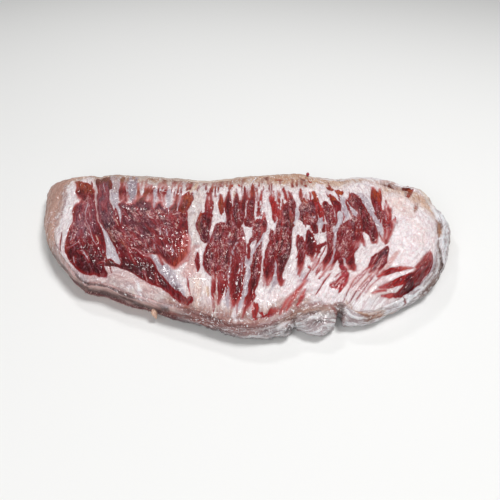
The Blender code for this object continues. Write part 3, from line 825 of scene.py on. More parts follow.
    seams: tuple[Strand, ...] = Strand.table("""
    LAVENDER: -88.4 54 .1, -87 48 .5, -84.9 42.5 .5, -83.6 36 .2; GREY_LILAC: -91.4 56 .1,
    -90 49 .3, -87.4 41 .3, -86 35 .1; PINK: -84.4 46 .1, -83 38 .35, -81.2 30 .3, -80 24 .1;
    LAVENDER: -94 38 .2, -91 25 .5, -90 15 .5, -88 8 .4, -84 0 .4, -79 -12 .4, -76 -16 .2;
    -84.5 -21.5 .1, -81 -23 .5, -79.4 -25.5 .4, -78 -28 .1; -87 -24 .6, -85.5 -28 .3; -95 -12.4 .2,
    -92.4 -9.8 .4, -89 -8.8 .4, -86.8 -9.6 .2; -94.6 -14.8 .2, -91.6 -16 .4, -88.8 -15.2 .5,
    -86.6 -12.4 .4, -87.2 -10.4 .2; PINK: -92.6 -12.6 .1, -90.6 -12.2 .3, -89.4 -13.8 .2;
    LAVENDER: -85.6 -20.2 .2, -82.4 -20.8 .5, -80.6 -23.4 .5, -78.6 -26.2 .3, -77.4 -29.4 .1;
    PINK: -72.2 -31.4 .1, -70.4 -29.8 .4, -68.6 -30.2 .3; LAVENDER: -45.6 -10.4 .1, -44.6 -13.6 .4,
    -44.8 -17.2 .2; MAUVE: -38 -14.2 .3, -36.2 -16.6 .6, -34.6 -20.4 .6, -34.2 -23.6 .2;
    PINK: -92 44 .4, -89.5 38 .5, -88 32 .5, -86.5 26 .5, -84.5 20 .5, -83 15 .6, -81 8 .6,
    -77 0 .7; BLUE_WHITE: -77 0 .4, -74 -5 1, -71 -12 1.6, -68 -19 2.4, -66 -24 2.7, -62.5 -28 1.4,
    -60.5 -32.5 .3; LAVENDER: -83 62 1.5, -79.5 48 1.9, -77 36 2.3, -76 30 1.7, -74 24 1.5,
    -71 18 1.2, -69 12 1, -67.5 4 .3; GREY_LILAC: -70 60 3, -68 44 2.7, -66 34 2, -64 25 .5;
    LAVENDER: -53 42 1.3, -51.5 30 1, -50.3 21 .5; -44 40 1.8, -43 30 1, -42 20 .5, -41 13 .2;
    -36 33 .5, -36.2 24 .7, -36.5 14 .3; -41 3 .3, -40 -3 .6, -38.5 -9 .3; -44 3 .3, -43.5 -3 .7,
    -43 -8 .3; -37 0 .3, -35 -8 .4; -51 -11 .3, -48.5 -19 .5; -45.5 -15 .3, -44 -20 .5; -36 -14 .3,
    -33.5 -21 .5; ROSE: -60 -17 .3, -55 -19 .5, -52 -22 .6, -49.5 -25 .5, -46 -26.5 .4;
    PINK: -47.5 -37 .3, -44.5 -45 .4; -41.5 -38 .2, -39 -47 .3; LAVENDER: -46 -25 .5, -43 -29 1.1,
    -40 -33 1.8, -37 -37 2.9, -33.5 -42 2.8, -31.5 -46.5 2, -28 -51 1.5, -25.5 -54 .8;
    PINK: -24.5 -22 .8, -26 -28 1, -29 -33 .6; FAT: -14.5 31 1.2, -13.9 22 1.4, -13.2 13 2.2,
    -11.5 8.5 2.6, -13.4 3 1.3, -15.1 -6 .9; -4.8 20 .3, -3.6 10 .5, -2.5 1 .3; 4.8 28 .6,
    4.4 18 .5, 3.4 6 .3; 10.3 37 .7, 10.2 24 .6, 10 12 .5; 16.6 38 2.2, 16.4 22 2.2, 17.8 12 1.7,
    19.3 4 1.3, 19.5 -1 .6; 5.2 -1.5 1.6, 5.6 -5 2.2, 5.2 -10 1.3, 4.8 -15 .5, 4.9 -20 .25;
    BLUE_WHITE: 15 -5 .7, 12.6 -13 1, 10 -19 .9, 7.5 -26 .5; LAVENDER: -.5 -15 .7, -2 -21 .6,
    -3 -28 .4, -3.4 -40 .45, -3.6 -50 .55, -4.2 -60 1.1; 3 -25 .3, 2.7 -33 .5, 2.6 -41 .2; 6 -29 .6,
    6.2 -37 1.5, 5.2 -46 1.3, 4.3 -53 1.3, 1.8 -62 .8; FAT: 15.7 -5 .5, 16 -10 1.4, 15.4 -15 1.1,
    14.2 -20 .9, 13.3 -33 .7, 12.2 -45 1, 11 -53 2.2; LAVENDER: 20 -25 .3, 20.2 -32 .7, 19 -47 .9;
    PINK: 29 -2 .2, 27 -10 .35, 25.5 -17 .3, 23 -23 .2; BLUE_WHITE: 34.3 22 .5, 34 12 1.1,
    33.5 5 1.2; FAT: 35 4 2.2, 34.8 0 2.9, 34.4 -4 2.4, 34.3 -9 .6; 31.8 0 1, 30.8 -8 1, 30 -15 .9,
    30.4 -22 1.6, 29 -28 2, 27 -35 2.5, 25.5 -42 3; 51.5 46 2.6, 52 36 2.4, 51 27.5 .5;
    LAVENDER: 47.5 10 1.1, 47.2 5 1.8, 47 0 1; BLUE_WHITE: 60 15 1.8, 58.5 7 1.7, 56 0 1.3,
    54.2 -8 .8, 53 -14 .8, 52.4 -19 .4; LAVENDER: 62.8 31 1.4, 63.2 22 1.8, 62.8 13 1; 67 23 .9,
    68 17 1.2, 69 11.5 .4; 75 35 1, 76.8 25 2, 77.5 18 1.7, 79 8 1.3, 79.5 0 1.5, 79.6 -6 .6;
    FAT: 40.5 2.5 .5, 41.5 -4 .6, 43.5 -7 .9, 46.2 -7 .9, 49 -5 .6, 50 1 .4; 44 -8 1.6,
    45.3 -11 2.3, 46.6 -15.3 .4; LAVENDER: 52.5 -20 .2, 50.5 -27 .5, 47.5 -34 .3; 58.2 -19 .2,
    57.4 -24 .4, 56.2 -30 .3; 44.5 13 .6, 43.5 11 .9, 42 11.5 .5; 70.5 4 .3, 69.3 0 .5, 69 -6 .4;
    86.5 14 .3, 85.4 9 .5, 85.8 5 .3; PINK: 75.6 -22 .15, 72.6 -28 .4, 69.4 -34 .3; 77.2 -26 .1,
    74.6 -31 .35, 72 -36 .35, 69.4 -40 .2; GREY_PINK: 105.2 -18 .1, 104.2 -24 .3, 101.4 -30 .3,
    97 -35.8 .3, 91 -41.2 .2; ROSE: 102.4 -24.5 .05, 99 -30 .18, 94.6 -35.4 .18, 89.6 -40 .1;
    104.4 -20 .05, 102.4 -28 .2, 98.6 -34 .2, 93.4 -39.6 .1; PINK: 86 -22 .2, 82.5 -27 .7, 78 -33 1,
    72 -40 .8; CREAM: -23.6 40 2.4, -24.8 26 3.2, -26 14 3.2, -26.3 4 2.4, -25 -4 2.4,
    -22.6 -12 2.6, -21.2 -17 2.2; PINK: -22.2 -18 1.8, -23.4 -24 1.4, -23.6 -32 1.8, -24 -40 3.4;
    """)
    islands: tuple[Strand, ...] = Strand.table("""
    BROWN: -84 54 .6, -82.3 48 .9, -80.5 42 .6; LEAN: -43 -22 .6, -40 -28 .8, -38 -33 .5;
    -28.5 -53 1.2, -26 -55.5 1; ROSE: -24.6 -42 .08, -23.4 -49 .22, -22 -55 .1; LEAN: 14.5 8 1.1,
    15.3 2 1.2; ROSE: 65 -38 .2, 70 -34 .3; BROWN: -49 62 .6, -49 52 .4; -42.5 62 .5, -42.5 50 .4;
    -41 56 .4, -41 47 .4; -31 63 .8, -31 52 1, -31.3 43 .6; -22 60 .4, -22.3 50 .5; -12 60 .4,
    -12 52 .5; 17 63 .8, 17.3 58 1.2, 17.6 55 .7; ORANGE: -4.6 48 .6, -4.4 46 .6; 0 48 .5, .2 46 .5;
    24.5 55 1, 26.5 54.5 1.1; DARK_BROWN: 41 56 .8, 41.6 53.5 .5; ORANGE: 45 54 .8, 46 52.3 .7;
    42 47 .5, 42.4 45 .5; BROWN: 68 59 .5, 68.6 57.5 .4; UMBER: 93 48.5 .3, 96 46.6 .7, 99 43 .8,
    101.5 42.6 .7, 104 44 .4; RUST: 104.5 45.5 .8, 106.5 45.5 1.3, 109 45.8 1, 111 48.5 .4;
    SIENNA: 109.4 46 1.2, 107 40 1.2, 105 36 .7, 103.4 32.5 .3;
    """)
    fine_bundles: tuple[Sprinkle, ...] = Sprinkle.table("""
    BRONZE BAND TAUPE: 34, -78 36, 40 60, 8 20, .14 .5, 5; RUST BRONZE: 20, -22 14, 34 50, 8 18,
    .12 .38, 6; BRIGHT ROSE: 24, -12 -44, 16 -34, 8 18, .12 .34, 7; ROSE LEAN: 20, 22 0, 66 32,
    8 18, .12 .32, 8; ROSE BRIGHT: 16, 30 -20, 52 -8, 6 14, .12 .3, 9; 14, 76 6, 92 30, 5 12,
    .15 .4, 10; ROSE SIENNA BRIGHT: 30, 10 0, 26 44, 8 20, .1 .34, 26; ROSE SIENNA: 26, 38 6, 72 40,
    6 16, .1 .32, 27; ROSE BRIGHT: 9, 22 -44, 48 -24, 6 16, .08 .26, 28; ROSY PINK: 14, 56 -44,
    76 -32, 5 12, .04 .12, 11; BRONZE TAUPE OCHRE: 30, -66 46, 14 62, 6 16, .1 .4, 18;
    BRONZE UMBER BROWN: 44, -124 -107, 8 60, 5 16, .12 .36, 20; BRONZE OCHRE: 9, 24 48, 60 60, 4 9,
    .16 .5, 19;
    """)
    filaments: tuple[Sprinkle, ...] = Sprinkle.table("""
    LAVENDER PINK: 46, -68 -10, -30 24, 6 16, .1 .3, 12; 18, -96 -8, -80 36, 6 14, .1 .3, 13;
    LAVENDER FAT: 40, -14 -14, 34 24, 6 16, .1 .32, 14; LAVENDER PINK: 24, -12 -44, 20 -18, 8 16,
    .1 .3, 15; LAVENDER FAT: 34, 36 -4, 90 28, 5 14, .1 .32, 16; LAVENDER: 12, 52 -20, 66 -4, 6 12,
    .1 .3, 17; LAVENDER PINK: 26, -14 -30, 4 4, 9 24, .08 .22, 22; 22, 52 -16, 72 26, 8 20, .08 .22,
    24; BEIGE GLEAM SAND: 54, -126 -107, 8 60, 4 14, .2 .6, 21;
    """)
    stains: tuple[Tint, ...] = Tint.table("""
    GLEAM fat .5 3: -106 40 2, -103.6 22 2.6, -101 6 2; BAND fat .95 2.2: -119 52 6, -116 30 6.5,
    -112.5 8 5.5, -106 -8 3.5, -99 -18 1.5; TAN fat .8 6: -120 64 7, -106 60 3;
    ROSY fat .8 2.5: -113 46 3, -110 26 3.5, -106 6 2.5; RUST fat .6 1.2: -108 40 .3, -106.4 30 .5,
    -104.6 16 .4; GREY_PINK fat .5 5: -93 -27 3, -82 -35 4, -70 -41 6, -55 -46 6, -38 -53 5,
    -22 -60 4; PINK fat .5 3: -75 -38 1.5, -60 -38 2, -50 -44 2, -40 -49 1.5;
    BEIGE fat .9 8: -108 66 3, -88 66 6, -60 62 12, -30 60 13, 0 61 14, 30 62 14, 60 61 12, 80 62 6;
    TAN fat .8 6: -24 60 3, -8 58 7, 8 60 7; TAUPE fat .5 8: -82 60 5, -62 58 8, -38 57 8, -16 57 5;
    TAUPE fat .3 8: -10 60 5, 20 61 6, 48 58 6; SAND fat .8 8: 14 60 5, 38 56 10, 62 54 6;
    SAND fat .4 5: -30 60 1, -10 58 3, 10 60 3; OCHRE fat .55 3: 21 56 1, 24 53 2, 28 50 1;
    BRONZE fat .6 3: 37 50 1, 41 47 2, 43 53 2, 38 54 1; OCHRE fat .5 3: 51 50 1, 52.4 45 1.5;
    TAUPE fat .6 3: -14 58 1, -9 54 2.5, -2 52 2.5, 3 57 2; BROWN fat .6 1.5: -32 58 .8,
    -31.6 50 1.2, -33 43 .6; TAUPE fat .6 2: -49 58 1, -45 56 1.6, -41 57 1;
    BLUE_WHITE fat .7 2.5: -36.5 57 .6, -36 50 1.2; BRONZE lean .8 7: -84 58 3, -50 56 6, -20 54 7,
    20 57 8, 60 54 7, 88 50 4; GREY_LILAC fat .5 5: -98 62 2, -88 60 3, -72 50 2;
    SAND fat .9 6: 92 40 2, 106 36 6, 115 30 6, 118 20 3; OCHRE fat .45 4: 88 48 1, 96 44 3;
    SNOW fat .85 8: 46 -54 4, 62 -48 6, 82 -34 6, 94 -10 10, 98 12 9, 96 30 4;
    PEACH fat .55 5: 88 34 2, 94 26 3, 99 14 3, 98 30 2; PEACH fat .25 3: 99 6 1, 104 -2 2,
    100 -12 2; ROSY fat .85 3.5: -33 -54 1, -22 -58.5 1.5, -10 -63 2, 2 -66.5 2.5, 12 -66.5 2.5,
    20 -62 2, 27 -58 1.5, 34 -54.6 1; LINE fat .55 2.5: -24 -59 .6, -10 -64 1, 2 -67 1.4,
    12 -67 1.4, 20 -63 1, 30 -57 .8; PEACH fat .8 4: -20 -44 1.5, -19 -54 3;
    PURPLE fat .9 2: -30.5 -48.5 .8, -28.2 -52.2 1.1; GREY_LILAC fat .9 3: -40 -33 1, -36 -39 1.6,
    -33 -45 1.6, -29 -50 1; SIENNA both .7 1.2: -27 -56.5 .8, -24.5 -57.6 .8;
    PINK fat .4 4: 60 -44 2, 68 -40 2, 74 -46 2; PINK fat .5 4: 54 -46 2, 62 -49 3, 72 -51 2;
    SNOW fat .85 5: 33 -46 2, 42 -48 4, 50 -52 3; LAVENDER fat .7 2.5: 30.5 -38 1.2, 33.5 -43 1.6;
    MAUVE fat .6 2: 31.5 -45 .6, 35.5 -44.5 .8; OCHRE fat .35 2: 62 -58 .5, 70 -52 1, 78 -46 .5;
    CREAM fat .5 4: 66 -54 3, 76 -50 3; SIENNA lean .9 4: -105 54 4, -99 46 5, -93 42 4;
    DARK_BROWN lean .6 4: -90 64 3, -89 58 3, -88 52 2; HAZE lean .7 4: -87 50 2, -85 42 2,
    -83 34 2.5, -81 26 2; ROSE lean .5 4: -99 34 1, -97.6 27 2; ORANGE lean .8 2: -98 20 .2,
    -95.8 2 .4, -94.6 -10 .5, -92 -19 .5; WINE lean .85 6: -90 -18 2, -84 -26 4, -76 -32 4,
    -68 -36 2; BLOOM lean .75 6: -89 6 3, -90 -8 4; BLOOM lean .75 7: -66 14 4, -58 4 7, -46 8 7,
    -50 -8 5, -38 -4 4; BLOOM lean .55 6: -14 -6 3, -4 -10 5, -4 -24 4;
    BRIGHT lean .8 5: -27.5 -8 1, -28.4 -16 2.5, -29 -27 2.5, -32 -34 1.5;
    BRIGHT lean .4 3: -41 14 1.5, -41 9 1.5; GREY_LILAC fat .7 3: -101 -13 .6, -92 -27 1.2,
    -84 -36 1.2, -78 -39 .6; BRIGHT lean .6 4: 86 22 2, 88 14 2.5, 87 4 2.5, 84 -6 2;
    BRIGHT lean .55 4: 58.5 -36 2, 51 -47 2; BRIGHT lean .5 4: 22 -46 2, 39 -28 1.5, 33 -36 1.5,
    45 -35 1.5; BRIGHT lean .45 5: -8 -54 2, 0 -58 3, 6 -60 3, 14 -46 2;
    ROSE lean .5 3: 72.5 35 1.2, 70 32 1.5; ROSE lean .35 5: -17 30 2, -19 22 3;
    BLOOM lean .6 4: 57 -12 2, 60 -2 3, 66 4 3; BLOOM lean .5 4: 36 18 2, 42 22 3;
    ORANGE lean .8 3: 84 41 2.5, 84 34 2.5; PURPLE lean .7 3: 81 20 1.2, 81.5 9 1.5;
    ORANGE lean .8 2.5: 90 -35 1.2, 86.5 -35.4 1.2; HAZE lean .75 6: -91 22 3, -89 8 4, -86 -2 4;
    HAZE lean .55 6: -68 27 4, -56 26 5, -44 25 5, -38 27 2; BROWN lean .5 4: -60 30 2, -48 32 2,
    -38 32 2; HAZE lean .5 5: -82 26 2, -77 12 3; BRIGHT lean .5 5: 88 32 2, 86 24 2;
    ROSE lean .75 3.5: -27 -8 1, -27.2 -20 1.6, -27.6 -29 1.8; ORANGE lean .5 3: -28 -14 1,
    -29 -24 1.5, -31 -33 1.2; WINE lean .9 5: -34 -46 2, -46 -39 4, -56 -33 3, -64 -30 2;
    WINE lean .7 4: 27 0 2, 26 -16 3, 23 -34 2; WINE lean .6 3: 0 -30 1, -1 -52 1.5;
    MAROON lean .6 5: -54 4 2, -50 -2 2, -36 -12 2; WINE lean .6 7: -9 0 4, -7 -14 6, -8 -30 5;
    WINE lean .5 7: 38 22 4, 42 6 4, 40 -14 3; WINE lean .55 7: 72 30 2, 68 14 5, 60 -4 5, 56 -20 3;
    WINE lean .7 4: 103.6 -17 1, 98.5 -27 2.5, 92.8 -36.4 2.5, 87 -42.5 1;
    MAROON lean .75 1.6: 104 -26 .3, 97 -38 .8, 89 -46 .8, 82 -50 .2; WINE lean .5 6: 6 24 3, 6 2 3,
    10 -24 2, 9 -46 2; WINE lean .4 7: -66 22 3, -54 20 5, -40 22 4;
    """)
    # Among the marks, the dark crease, slit, notch and gap lines are painted shade; on the first
    # lobe a dark line with a white one just below it is a fold's painted shade and painted
    # highlight.
    marks: tuple[Tint, ...] = Tint.table("""
    UMBER both .5 1: -97 62.6 .2, -85 64.4 .5, -68 63.8 .5, -44 61.2 .5, -24 59.2 .5, -11 59.8 .5,
    5 62.8 .5, 25 66.2 .5, 38 66 .5, 49 62.4 .4, 62 60.6 .1; GREY_LILAC fat .75 2: -40 -33 .6,
    -36 -39 1.4, -33 -45 1.4, -29.5 -50 1; PURPLE fat .8 1.2: -30 -49 .5, -28.4 -51.6 .7;
    GREY_PINK fat .6 2.5: -82 60 1, -79 48 1.6, -77 38 1.4; CREASE both .85 .5: -84.3 -33.4 .15,
    -79 -37.8 .3, -75.4 -39.6 .35, -69 -40.9 .4, -63.5 -43.2 .4, -57.5 -46.2 .4, -50 -49.8 .4,
    -44 -52 .35, -38 -54.6 .3, -33 -56.4 .15; LINE both .85 .9: -32.7 -55.1 .1, -27.9 -57.3 .3,
    -23.9 -59.3 .4, -18.5 -61.4 .45, -13.4 -63.4 .45, -9.6 -64.9 .45, -5.1 -66.8 .45, -.4 -68.5 .45,
    4.6 -69.2 .45, 8.9 -69.4 .45, 13.2 -69 .4, 16 -68.4 .4, 20.2 -65.6 .4, 24.5 -63 .4,
    28.2 -60.7 .4, 32.3 -57.5 .35, 36.8 -55.5 .3, 40.6 -54.4 .3, 43.3 -54.9 .3, 45.9 -57.4 .3,
    48 -59.1 .4; TAUPE both .8 1.5: 24 -62.5 .8, 32 -59.5 1.4, 40 -57.5 1.6, 45 -59 .8;
    UMBER both .6 .7: 18.3 -68.4 .2, 23.5 -65.9 .3, 29.5 -62.1 .3, 36.1 -62 .3, 42.9 -61.4 .3,
    46.6 -61.8 .2; GLEAM both .6 .6: 20 -68.6 .1, 24.5 -66.6 .2, 30 -63.2 .25, 36.1 -63.2 .3,
    43 -62.6 .25, 47 -63 .1; CREASE both .8 .5: 36.4 -66 .2, 39.3 -65.1 .45, 41.6 -64.7 .2;
    CREASE both .8 .9: 23.3 -69 .2, 25.8 -67.2 .6, 28.5 -66.4 .5, 30.5 -65.4 .1;
    RUST both .8 .9: 47 -57.8 .2, 48.5 -59.6 .6, 51.4 -60.5 .6, 52.2 -61.6 .2;
    OCHRE both .8 .8: 53.7 -53.4 .1, 55.8 -55.8 .3, 58.3 -59 .4, 62.2 -60.5 .45, 66.1 -60 .45,
    71.3 -57.4 .4, 77.5 -56.3 .3, 81.4 -54.4 .1; BRONZE both .6 .5: 57 -57.6 .1, 60 -60.2 .2,
    65 -60.6 .2, 70 -58.4 .1; GLEAM both .7 1.6: 58.6 -56.6 1.6, 64.9 -57 2, 72 -54.5 1.2;
    UMBER both .95 .9: 112.4 -5.5 .2, 111.2 -10 .6, 110.8 -14.9 .8, 110 -22.5 .9, 106 -31.7 .8,
    101.4 -36.9 .7, 99 -39.5 .6, 93.4 -44 .2; CREASE both .7 .5: 111.6 -12 .1, 110.4 -22 .3,
    107 -30.6 .2; UMBER both .8 .7: 109 -15.6 .2, 106.2 -26 .4, 101.8 -33.7 .4, 96.2 -39.6 .2;
    BRONZE both 1 .9: 116.6 14 .4, 117.6 10.5 1.1, 116.6 6.3 1.3, 115.3 1.4 1.2, 114 -2.9 .4;
    UMBER both .8 .6: 116.2 12 .2, 115.4 7 .5, 114.4 2 .4; RUST both .9 .5: 83.4 -49.4 .3,
    84.6 -49.8 .4; CREASE both .8 .5: 91 -41.4 .1, 93.1 -39.4 .5, 96 -37.2 .2;
    BRONZE both 1 1: 107.9 26.6 .4, 106.2 22 1.2, 104.2 16.6 .5; SIENNA both .7 .6: 107.2 25 .2,
    106 21.4 .6, 104.4 17.4 .3; UMBER both .7 .8: 104.6 42 .2, 103.4 37 .5, 102.4 33 .2;
    TAUPE both .6 3: 92 50 1, 98 46 2, 103 42 2, 106 38 1; CREASE both .8 .5: 62.6 60.9 .1,
    66 58.5 .35, 69.6 55.5 .1;
    """)
    # Runs where the lean's painted wet sheen, painted glints and painted pit shade gather.
    sheens: tuple[Run, ...] = Run.table("""
    .9 4: -97 8 1, -92 -2 3, -90 -12 3.5; .8 4: -93 34 1, -91 20 2.5, -88 4 3, -84 -8 2;
    .7 3: -85 -20 1, -80 -23 1.2, -78 -16 1; 1 5: -78 26 1, -73 2 2, -67 -5 3.5, -62 -14 3;
    .6 4: -90 56 1, -87 44 2, -82 28 2, -78 10 2; 1 6: -70 18 3, -60 14 5, -46 14 6, -36 12 4;
    .9 5: -62 0 4, -56 -12 5, -46 -6 4, -40 2 4; .9 4: -56 -20 2, -48 -22 2.5, -40 -18 2, -34 -22 2;
    .7 3: -23 12 1, -20 0 3, -17 -12 2; 1 5: -10 2 4, -8 -12 6, -9 -28 6, -10 -38 4; .8 4: -2 28 1,
    -1 10 3, 1 -8 3, 1 -24 3; 7 26 1, 8 8 4, 11 -2 4, 11 -20 2, 9 -40 2; 1 4: 20 -6 2, 19 -16 3,
    18 -26 2; .9 5: 32 32 1, 29 18 3, 26 4 4, 25 -14 3, 23 -30 2; 1 4: 36 34 1, 40 20 5, 41 10 4;
    1 3: 34 -12 2, 34 -22 2; .8 4: 52 26 2, 54 10 3, 51 -6 2, 50 -18 1; 1 5: 70 34 1, 69 20 3,
    64 6 5, 58 -6 4, 56 -20 3; .8 4: 75 20 1, 76 4 2, 73 -4 2, 76 -12 1; 1 2: 54 -38 1, 53 -44 2,
    49 -47 1.5; 1 3: 79 -21 1, 75 -28 2.5, 71 -36 1.5; .8 4: 84 22 1, 84 10 3, 84 0 2;
    .6 3: 101 -24 1, 95 -34 2;
    """)
    soft_ends: tuple[Run, ...] = Run.table("""
    .75 6: -74 50 4, -50 50 5, -20 53 4, 10 56 4, 44 57 4; 2.2 4: -26.8 -8 .5, -26.6 -20 1,
    -28 -30 2, -32 -35 2; 1 4: -98.5 34 2, -97.4 26 2; .8 4: -104 52 1, -101 45 1; 1 6: -70 30 4,
    -56 29 5, -44 29 5, -38 30 3; .8 4: -41 -24 1, -37 -30 2, -46 -24 1; .5 4: -16 -40 1, -10 -43 2;
    .5 5: -9 -58 2, -2 -61 3, 5 -63 3; .9 4: 15.4 -44 2, 16 -50 1; .8 4: 23 -50 2, 28 -44 1;
    .9 4: 20 -62 2, 28 -54 3, 34 -46 2; 1 4: 38.6 -28 2, 39 -33 1; 32.6 -36 2, 32 -42 1; 45 -34 2,
    48 -34 2, 44 -40 1; 1 3: 58 -34 1.5, 60 -39 2; .3 3: 55 -36 .5, 54 -46 1, 48 -48 2;
    .8 4: 66 -14 2, 76 -14 2; 1 4: 80 -12 2, 84 -8 2, 90 4 2; .9 4: 90 24 1, 89 14 1;
    .3 5: -20 32 3, 0 34 4, 20 36 4, 40 36 4; .8 3: 84 44 2, 88 42 1; 90 -35 1, 86 -35 1;
    .5 3: 74 -42 1, 75 -46 1, 68 -51 2; .6 3: 68 -39 2, 72 -40 2; .7 3: 105 -16 1, 102 -22 1,
    97 -27 1, 92 -33 1;
    """)
    rim_runs: tuple[Path, ...] = (read_path("""
    -99 -19 1.5, -91 -30 2.5, -82 -38 2.5, -74 -41.5 3.5, -66 -43.5 5.5, -58 -45.5 6.5, -50 -49 5.5,
    -42 -53 4.2, -34 -56.5 3, -26 -59.5 2.5, -16 -63.5 2.5, -6 -67.5 2.5, 6 -70 3, 16 -69 3.5,
    24 -64.5 3.5, 32 -59.5 3.5, 40 -56 3
    """), read_path("""
    91 -46 2, 99 -39 2.5, 107 -29 3, 111 -15 3, 114.5 0 3, 117 14 2
    """))
    # Flank tones at five depths below the rim; the dark crease tones and the dark lowest rows at
    # the front are painted shade.
    rim_levels: tuple[float, ...] = (0.6, 3.5, 4.5, 5.2, 6.4)
    rim_tones: tuple[tuple[list[str], Path], ...] = read_rows("""
    ROSY ROSY BAND BAND UMBER: -119 52; -121 25; ROSY ROSY BAND UMBER UMBER: -112 0;
    GREY_PINK GREY_PINK CREASE GREY_PINK UMBER: -98 -20; PINK PINK GREY_PINK MAROON FRINGE: -84 -34;
    -75 -39; -60 -44; -45 -51; PINK GREY_PINK LINE MAROON SHADE: -34 -56;
    GREY_PINK GREY CREASE GREY CREASE: -20 -61; GREY_PINK GREY GREY GREY SHADE: -6 -67;
    GREY_PINK SKIN GREY SKIN SHADE: 8 -70; 18 -68; BRONZE GREY_PINK SKIN SKIN CREASE: 26 -65;
    BRONZE SKIN PALE_SKIN PALE_SKIN SKIN: 36 -62; 44 -60; RUST UMBER UMBER SHADE SHADE: 50 -58;
    SKIN PALE_SKIN SKIN PALE_SKIN PALE_SKIN: 56 -60;
    CREAM PALE_SKIN PALE_SKIN PALE_SKIN SKIN: 66 -60; 78 -56;
    BLUE_WHITE PALE_SKIN PALE_SKIN SKIN GREY: 90 -47; 106 -30;
    PALE_SKIN PALE_SKIN SKIN SKIN TAN: 117 -5; PALE_SKIN PALE_SKIN SKIN TAN TAN: 124 18;
    BEIGE TAN TAN TAN TAN: 121 42; PALE_SKIN TAN TAN TAN TAN: 108 56;
    PALE_SKIN PALE_SKIN SKIN TAN TAN: 90 63; PALE_SKIN TAN TAN BAND BAND: 64 66;
    SAND SAND OCHRE BAND BAND: 40 70; TAN TAN TAN BAND BAND: 8 67; BEIGE TAN TAN BAND BAND: -30 64;
    BEIGE GREY_PINK TAN BAND BROWN: -60 66; TAN GREY_PINK BAND BROWN BROWN: -92 67;
    """)
    grain_rows: tuple[float, ...] = (66.0, 40.0, 20.0, 0.0, -20.0, -40.0, -66.0)
    grain_guides: Path = read_path("""
    -126 -122 -119 -115 -108 -98 -88, -108 -102 -98 -95.5 -92 -85 -77,
    -94.5 -89 -84 -77 -67 -57 -46, -83 -78 -71.5 -62 -49 -40 -33, -67 -64.5 -59 -46 -37 -32 -28.5,
    -50 -48.5 -44.5 -36.5 -31 -28 -25, -31 -30.5 -30 -28.5 -25 -24 -21.5,
    -20 -19 -18.5 -17.5 -16.5 -14 -11.5, -5 -4.5 -4 -3 -3.5 -3.8 -4.2, 10 9.5 9 8 5.5 3 0,
    21.5 20.5 20 18 14 11 8, 34 32.5 31 30.5 27 23 17, 47 47.5 48 46 40 32 19, 62 61 60 56 50 40 25,
    74 74 74.5 72 64 50 33, 88 87 86 83 76 62 41, 104 104 104 101 93 76 50,
    126 124 122 119 110 94 74
    """)
    guide_middle: int = 3
    guide_points: int = 60
    guide_steps: int = 12
    probe: float = 0.5

    hair_places: tuple[float, ...] = (0.0, 0.3, 0.7, 1.0)
    hair_widths: tuple[float, ...] = (0.3, 1.0, 0.9, 0.2)
    hair_waver: float = 0.25

    weave_seed: int = 23
    fray_along: float = 1.3
    fray_across: float = 0.3
    pull_waves: tuple[Triple, ...] = ((1.7, 16.0, 1.0), (0.9, 8.0, 0.5))
    sway_waves: tuple[Triple, ...] = ((4.0, 6.0, 1.0), (1.8, 3.0, 0.5))
    loose_right: Pair = (-32.0, -18.0)
    loose_back: Pair = (10.0, 25.0)
    firm_right: Pair = (50.0, 62.0)
    firm_front: Pair = (-16.0, -24.0)
    least_loose: float = 0.2

    flank_start: float = 0.5
    tone_spread: float = 2.0
    tone_step: Pair = (0.1, 0.9)
    flank_cover: Pair = (0.3, 1.4)
    lean_drop: float = 5.0
    lean_end: Pair = (0.8, 2.6)
    dried_band: Path = read_path("""
    -104 -14 1, -113 8 3.5, -118 30 5, -118 50 6, -100 60 6, -60 62 10, 0 62 11, 60 61 9, 100 52 4,
    116 32 3
    """)
    dried_soft: Pair = (-5.0, 5.0)
    veined_band: Path = read_path("""
    20 -58 4, 50 -42 10, 78 -32 12, 98 -4 10, 96 24 10
    """)
    veined_soft: Pair = (-4.0, 6.0)
    skin_down: Pair = (0.5, 2.5)
    skin_back: Pair = (52.0, 44.0)
    skin_left: Pair = (-34.0, -16.0)

    lean: Array = field(init=False)
    grain: Array = field(init=False)
    flow: Array = field(init=False)
    lean_tone: Array = field(init=False)
    fat_tone: Array = field(init=False)
    traits: Array = field(init=False)
    loose: Array = field(init=False)
    sheen: Array = field(init=False)
    softness: Array = field(init=False)

    def strand_reach(self, x: Array, y: Array,
                     path: Path) -> tuple[Array, Array]:
        """Say which points lie near a strand, and how far inside it.

        Args:
            x: Points' first coordinate.
            y: Points' second coordinate.
            path: The strand's path.

        Returns:
            The points' numbers, and their reach.
        """
        fine = smooth_curve(path, np.linspace(0.0, 1.0, 4 * len(path)), CURVE_STEPS)
        near = near_path(x, y, fine, fine[:, 2].max() + self.reach_limit)
        return near, path_reach(x[near], y[near], fine)

    @staticmethod
    def tinge(tones: Array, near: Array, share: Array, tissue: Tissue) -> None:
        """Turn the tones of some points towards a tissue's by a share."""
        tones[near] += share[:, None] * (tissue.linear() - tones[near])

    def add_tissue(self, near: Array, reach: Array, tissue: Tissue) -> None:
        """Join a bundle of lean to what is there, and colour it.

        Args:
            near: Numbers of the points near it.
            reach: How far inside it they lie.
            tissue: Its tissue.
        """
        self.lean[near] = np.maximum(self.lean[near], reach)
        share = ease(reach, -self.blend_width, self.lean_join)
        self.tinge(self.lean_tone, near, share, tissue)

    def cut_seam(self, near: Array, reach: Array, tissue: Tissue) -> None:
        """Part the lean by a seam of fat, and colour the fat.

        Args:
            near: Numbers of the points near it.
            reach: How far inside it they lie.
            tissue: Its tissue.
        """
        self.lean[near] = np.minimum(self.lean[near], -reach)
        share = ease(reach, -self.blend_width, self.seam_join)
        self.tinge(self.fat_tone, near, share, tissue)

